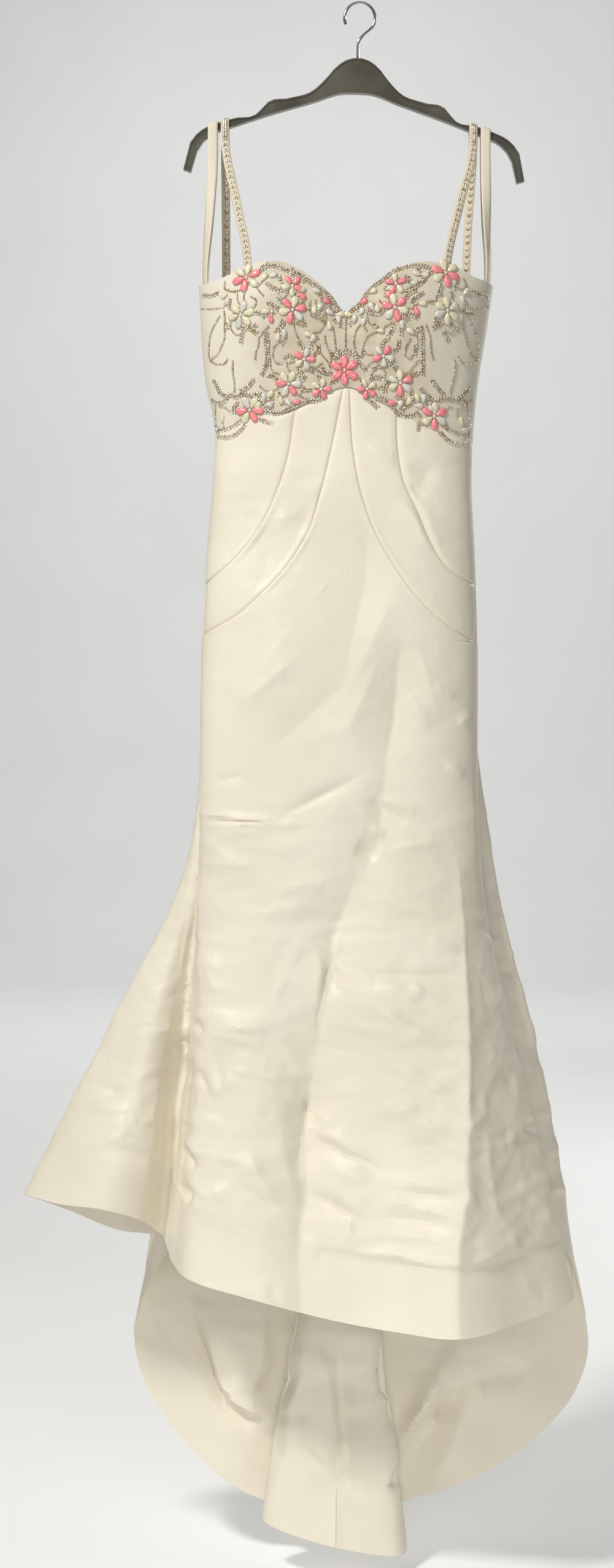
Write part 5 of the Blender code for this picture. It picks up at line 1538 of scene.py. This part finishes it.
def over_arm(top_x, half_width, drop, lift):
    """Points and widthways directions that carry a band from front to back over a hanger arm."""
    reach = HANGER_THICK / 2 + LAYER_GAP + BAND_WALL / 2 + ARM_GAP
    rise = arm_top(top_x + half_width) - arm_top(top_x - half_width)
    top = max(arm_top(top_x - half_width), arm_top(top_x + half_width))
    top = max(arm_top(top_x), top - abs(rise) / 2) + LAYER_GAP + BAND_WALL / 2 + lift
    side = ((reach, drop), (reach, 14.0), (reach, 5.0), (reach - 0.7, 1.4), (reach * 0.6, 0.1))
    front = [(top_x, -y, top - down) for y, down in side]
    back = [(top_x, y, top - down) for y, down in side[::-1]]
    tilt = math.atan2(rise, 2 * half_width)
    points = front + [(top_x, 0.0, top)] + back
    return points, [(math.cos(tilt), 0.0, math.sin(tilt))] * len(points)


def with_ends(route, widthways, ends):
    """Adds the way down to the bodice at the front and the back of a route over the arm."""
    for end, (low, low_way, high, high_way) in ends:
        hung = np.array(route[end])
        middle = (high + hung) / 2
        steps = [low, high, middle]
        ways_down = [low_way, high_way, (high_way + np.array(widthways[end])) / 2]
        if end == 0:
            route, widthways = steps + list(route), ways_down + list(widthways)
        else:
            route, widthways = list(route) + steps[::-1], list(widthways) + ways_down[::-1]
    return np.array(route, float), np.array(widthways, float)


# %% Making a band
def band_frames(route, widthways, count):
    """Evenly spaced places along a band, with its directions along, across and out."""
    walk = np.concatenate(([0.0], np.cumsum(np.linalg.norm(np.diff(route, axis=0), axis=1))))
    knots = np.interp(np.arange(len(route) * 2 - 1) / 2, range(len(route)), walk)
    at = np.interp(np.linspace(0, 1, count), np.linspace(0, 1, len(knots)), knots)
    line = np.stack([smooth(at, walk, route[:, k]) for k in range(3)], axis=1)
    turned = np.stack([smooth(at, walk, widthways[:, k]) for k in range(3)], axis=1)
    along = unit(np.gradient(line, axis=0))
    aside = unit(turned - along * np.sum(along * turned, axis=1, keepdims=True))
    return line, along, aside, np.cross(along, aside)


BAND_PROFILE = ((-1.0, -0.5), (-0.5, -0.62), (0.0, -0.66), (0.5, -0.62), (1.0, -0.5),
                (1.0, 0.5), (0.5, 0.62), (0.0, 0.66), (-0.5, 0.62), (-1.0, 0.5))


def make_band(name, route, widthways, width, material, count=150):
    """A woven band whose middle is a little thicker than its selvedges."""
    line, along, aside, face = band_frames(route, widthways, count)
    around_band = len(BAND_PROFILE)
    points = [place + a * width / 2 * across + f * BAND_WALL * 0.75 * out
              for place, a, f in zip(line, aside, face) for across, out in BAND_PROFILE]
    faces = [tuple(range(around_band)), tuple(len(points) - 1 - k for k in range(around_band))]
    for j in range(count - 1):
        for k in range(around_band):
            n = (k + 1) % around_band
            faces.append((around_band * j + k, around_band * j + n,
                          around_band * (j + 1) + n, around_band * (j + 1) + k))
    piece = mesh_object(name, np.array(points) * MM, faces)
    piece.data.materials.append(material)
    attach(piece, "root")
    length = float(np.linalg.norm(np.diff(line, axis=0), axis=1).sum())
    print(f"{name}: {width:.0f} mm wide, {length:.0f} mm long")
    return piece, (line, along, aside, face)


# %% The two beaded straps
STRAP_WIDTH = 11.0
STRAP_DEPTH = 1.8 + LAYER_GAP + BAND_WALL / 2 + 0.5
# Two rows of slanted beads lie this far either side of the strap's middle, clear of its ends
ROW_ASIDE = 1.35
ROW_OUT = BAND_WALL * 0.5 + 0.55
ROW_SLANT = math.radians(24)
ROW_CLEAR = 8
STRAP_BEAD = (2.9, 1.25, 0.9)
strap_beads = [bead_store(), bead_store()]
for side, front_x, top_x, back_at in (("left", -147, -177, 2.62), ("right", 111, 149, 1.38)):
    front_at = float(front_around(front_x, -368.0))
    front_neck = float(edge_height(NECKLINE, np.array([front_at]))[0])
    route, widthways = over_arm(top_x, STRAP_WIDTH / 2, 24.0, 1.2)
    ends = [(end, (*inside_place(at, neck - 14.0, STRAP_DEPTH),
                   *inside_place(at, neck + BAND_WALL * 2, STRAP_DEPTH + 0.5)))
            for at, neck, end in ((front_at, front_neck, 0), (back_at, back_neck(back_at), -1))]
    route, widthways = with_ends(route, widthways, ends)
    strap, (line, along, aside, face) = make_band(
        "beaded_strap_" + side, route, widthways, STRAP_WIDTH, strap_cloth, 190)
    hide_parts("strap_" + side)
    for out_side in (-1.0, 1.0):
        for across in (-1.0, 1.0):
            slant = ROW_SLANT * across
            length = along * math.cos(slant) - aside * math.sin(slant)
            at = line + aside * across * ROW_ASIDE + face * out_side * ROW_OUT
            for start in (0, 1):
                keep = slice(ROW_CLEAR + start, -ROW_CLEAR, 2)
                grow = np.array(STRAP_BEAD) * rng.uniform(0.92, 1.08, (len(at[keep]), 1))
                lay(strap_beads[start], at[keep], frames(length, face * out_side)[keep], grow)
for store, name, metal in zip(strap_beads, ("champagne", "silver"), (gold_bead, silver_bead)):
    scatter("strap_beads_" + name, pearl, *kept(store), metal, "strap")

# %% The two hanger tapes
TAPE_WIDTH = 13.0
TAPE_LOW, TAPE_HIGH = -402.0, -364.0
TAPE_FRONT, TAPE_BACK = 0.88, 1.12
TAPE_DEPTH = STRAP_DEPTH + 2.4
for side, seam_at, top_x in (("left", -1.0, -193), ("right", 1.0, 165)):
    route, widthways = over_arm(top_x, TAPE_WIDTH / 2, 40.0, 1.6)
    ends = [(end, (*inside_place(at, TAPE_LOW, TAPE_DEPTH), *inside_place(at, TAPE_HIGH, TAPE_DEPTH)))
            for end, at in ((0, seam_at * TAPE_FRONT), (-1, seam_at * TAPE_BACK))]
    route, widthways = with_ends(route, widthways, ends)
    tape, _ = make_band("plain_tape_" + side, route, widthways, TAPE_WIDTH, tape_cloth, 150)
    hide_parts("hanger_tape_" + side)

# %% [markdown]
# ## The zip
# The zip at the centre back is a concealed one: its teeth lie behind the seam and only the
# slider and its pull stay outside. A row of small teeth in the groove is all that shows.

# %% Zip teeth
ZIP_TOP, ZIP_END = -424.0, -700.0
TOOTH_PITCH = 1.6
TOOTH_SIZE = (1.3, 0.5, 0.55)
TOOTH_DEPTH = 0.9
heights = np.arange(ZIP_TOP, ZIP_END, -TOOTH_PITCH)
middle = np.full(len(heights), 2.0)
tooth_out = outward(middle, heights)
tooth_at = gown(middle, heights) - tooth_out * TOOTH_DEPTH
scatter("zip_teeth", pearl, tooth_at, frames(np.tile((1.0, 0.0, 0.0), (len(heights), 1)), tooth_out),
        np.tile(TOOTH_SIZE, (len(heights), 1)), zip_enamel, "zip")

# %% [markdown]
# ## Hanger, hook and zip
# These are hard and simple, so the CAD solids stay and only get their finishes.

# %% Finishes for the CAD pieces
def dress(node, material):
    """Gives a CAD node a finish in all of its slots."""
    for slot in NODES[node].material_slots:
        slot.material = material


for node, material in (("hanger_body", plastic), ("hanger_hook", chrome), ("zip_slider", zip_enamel),
                       ("zip_pull", zip_enamel)):
    dress(node, material)
    print(node, "wears", material.name)
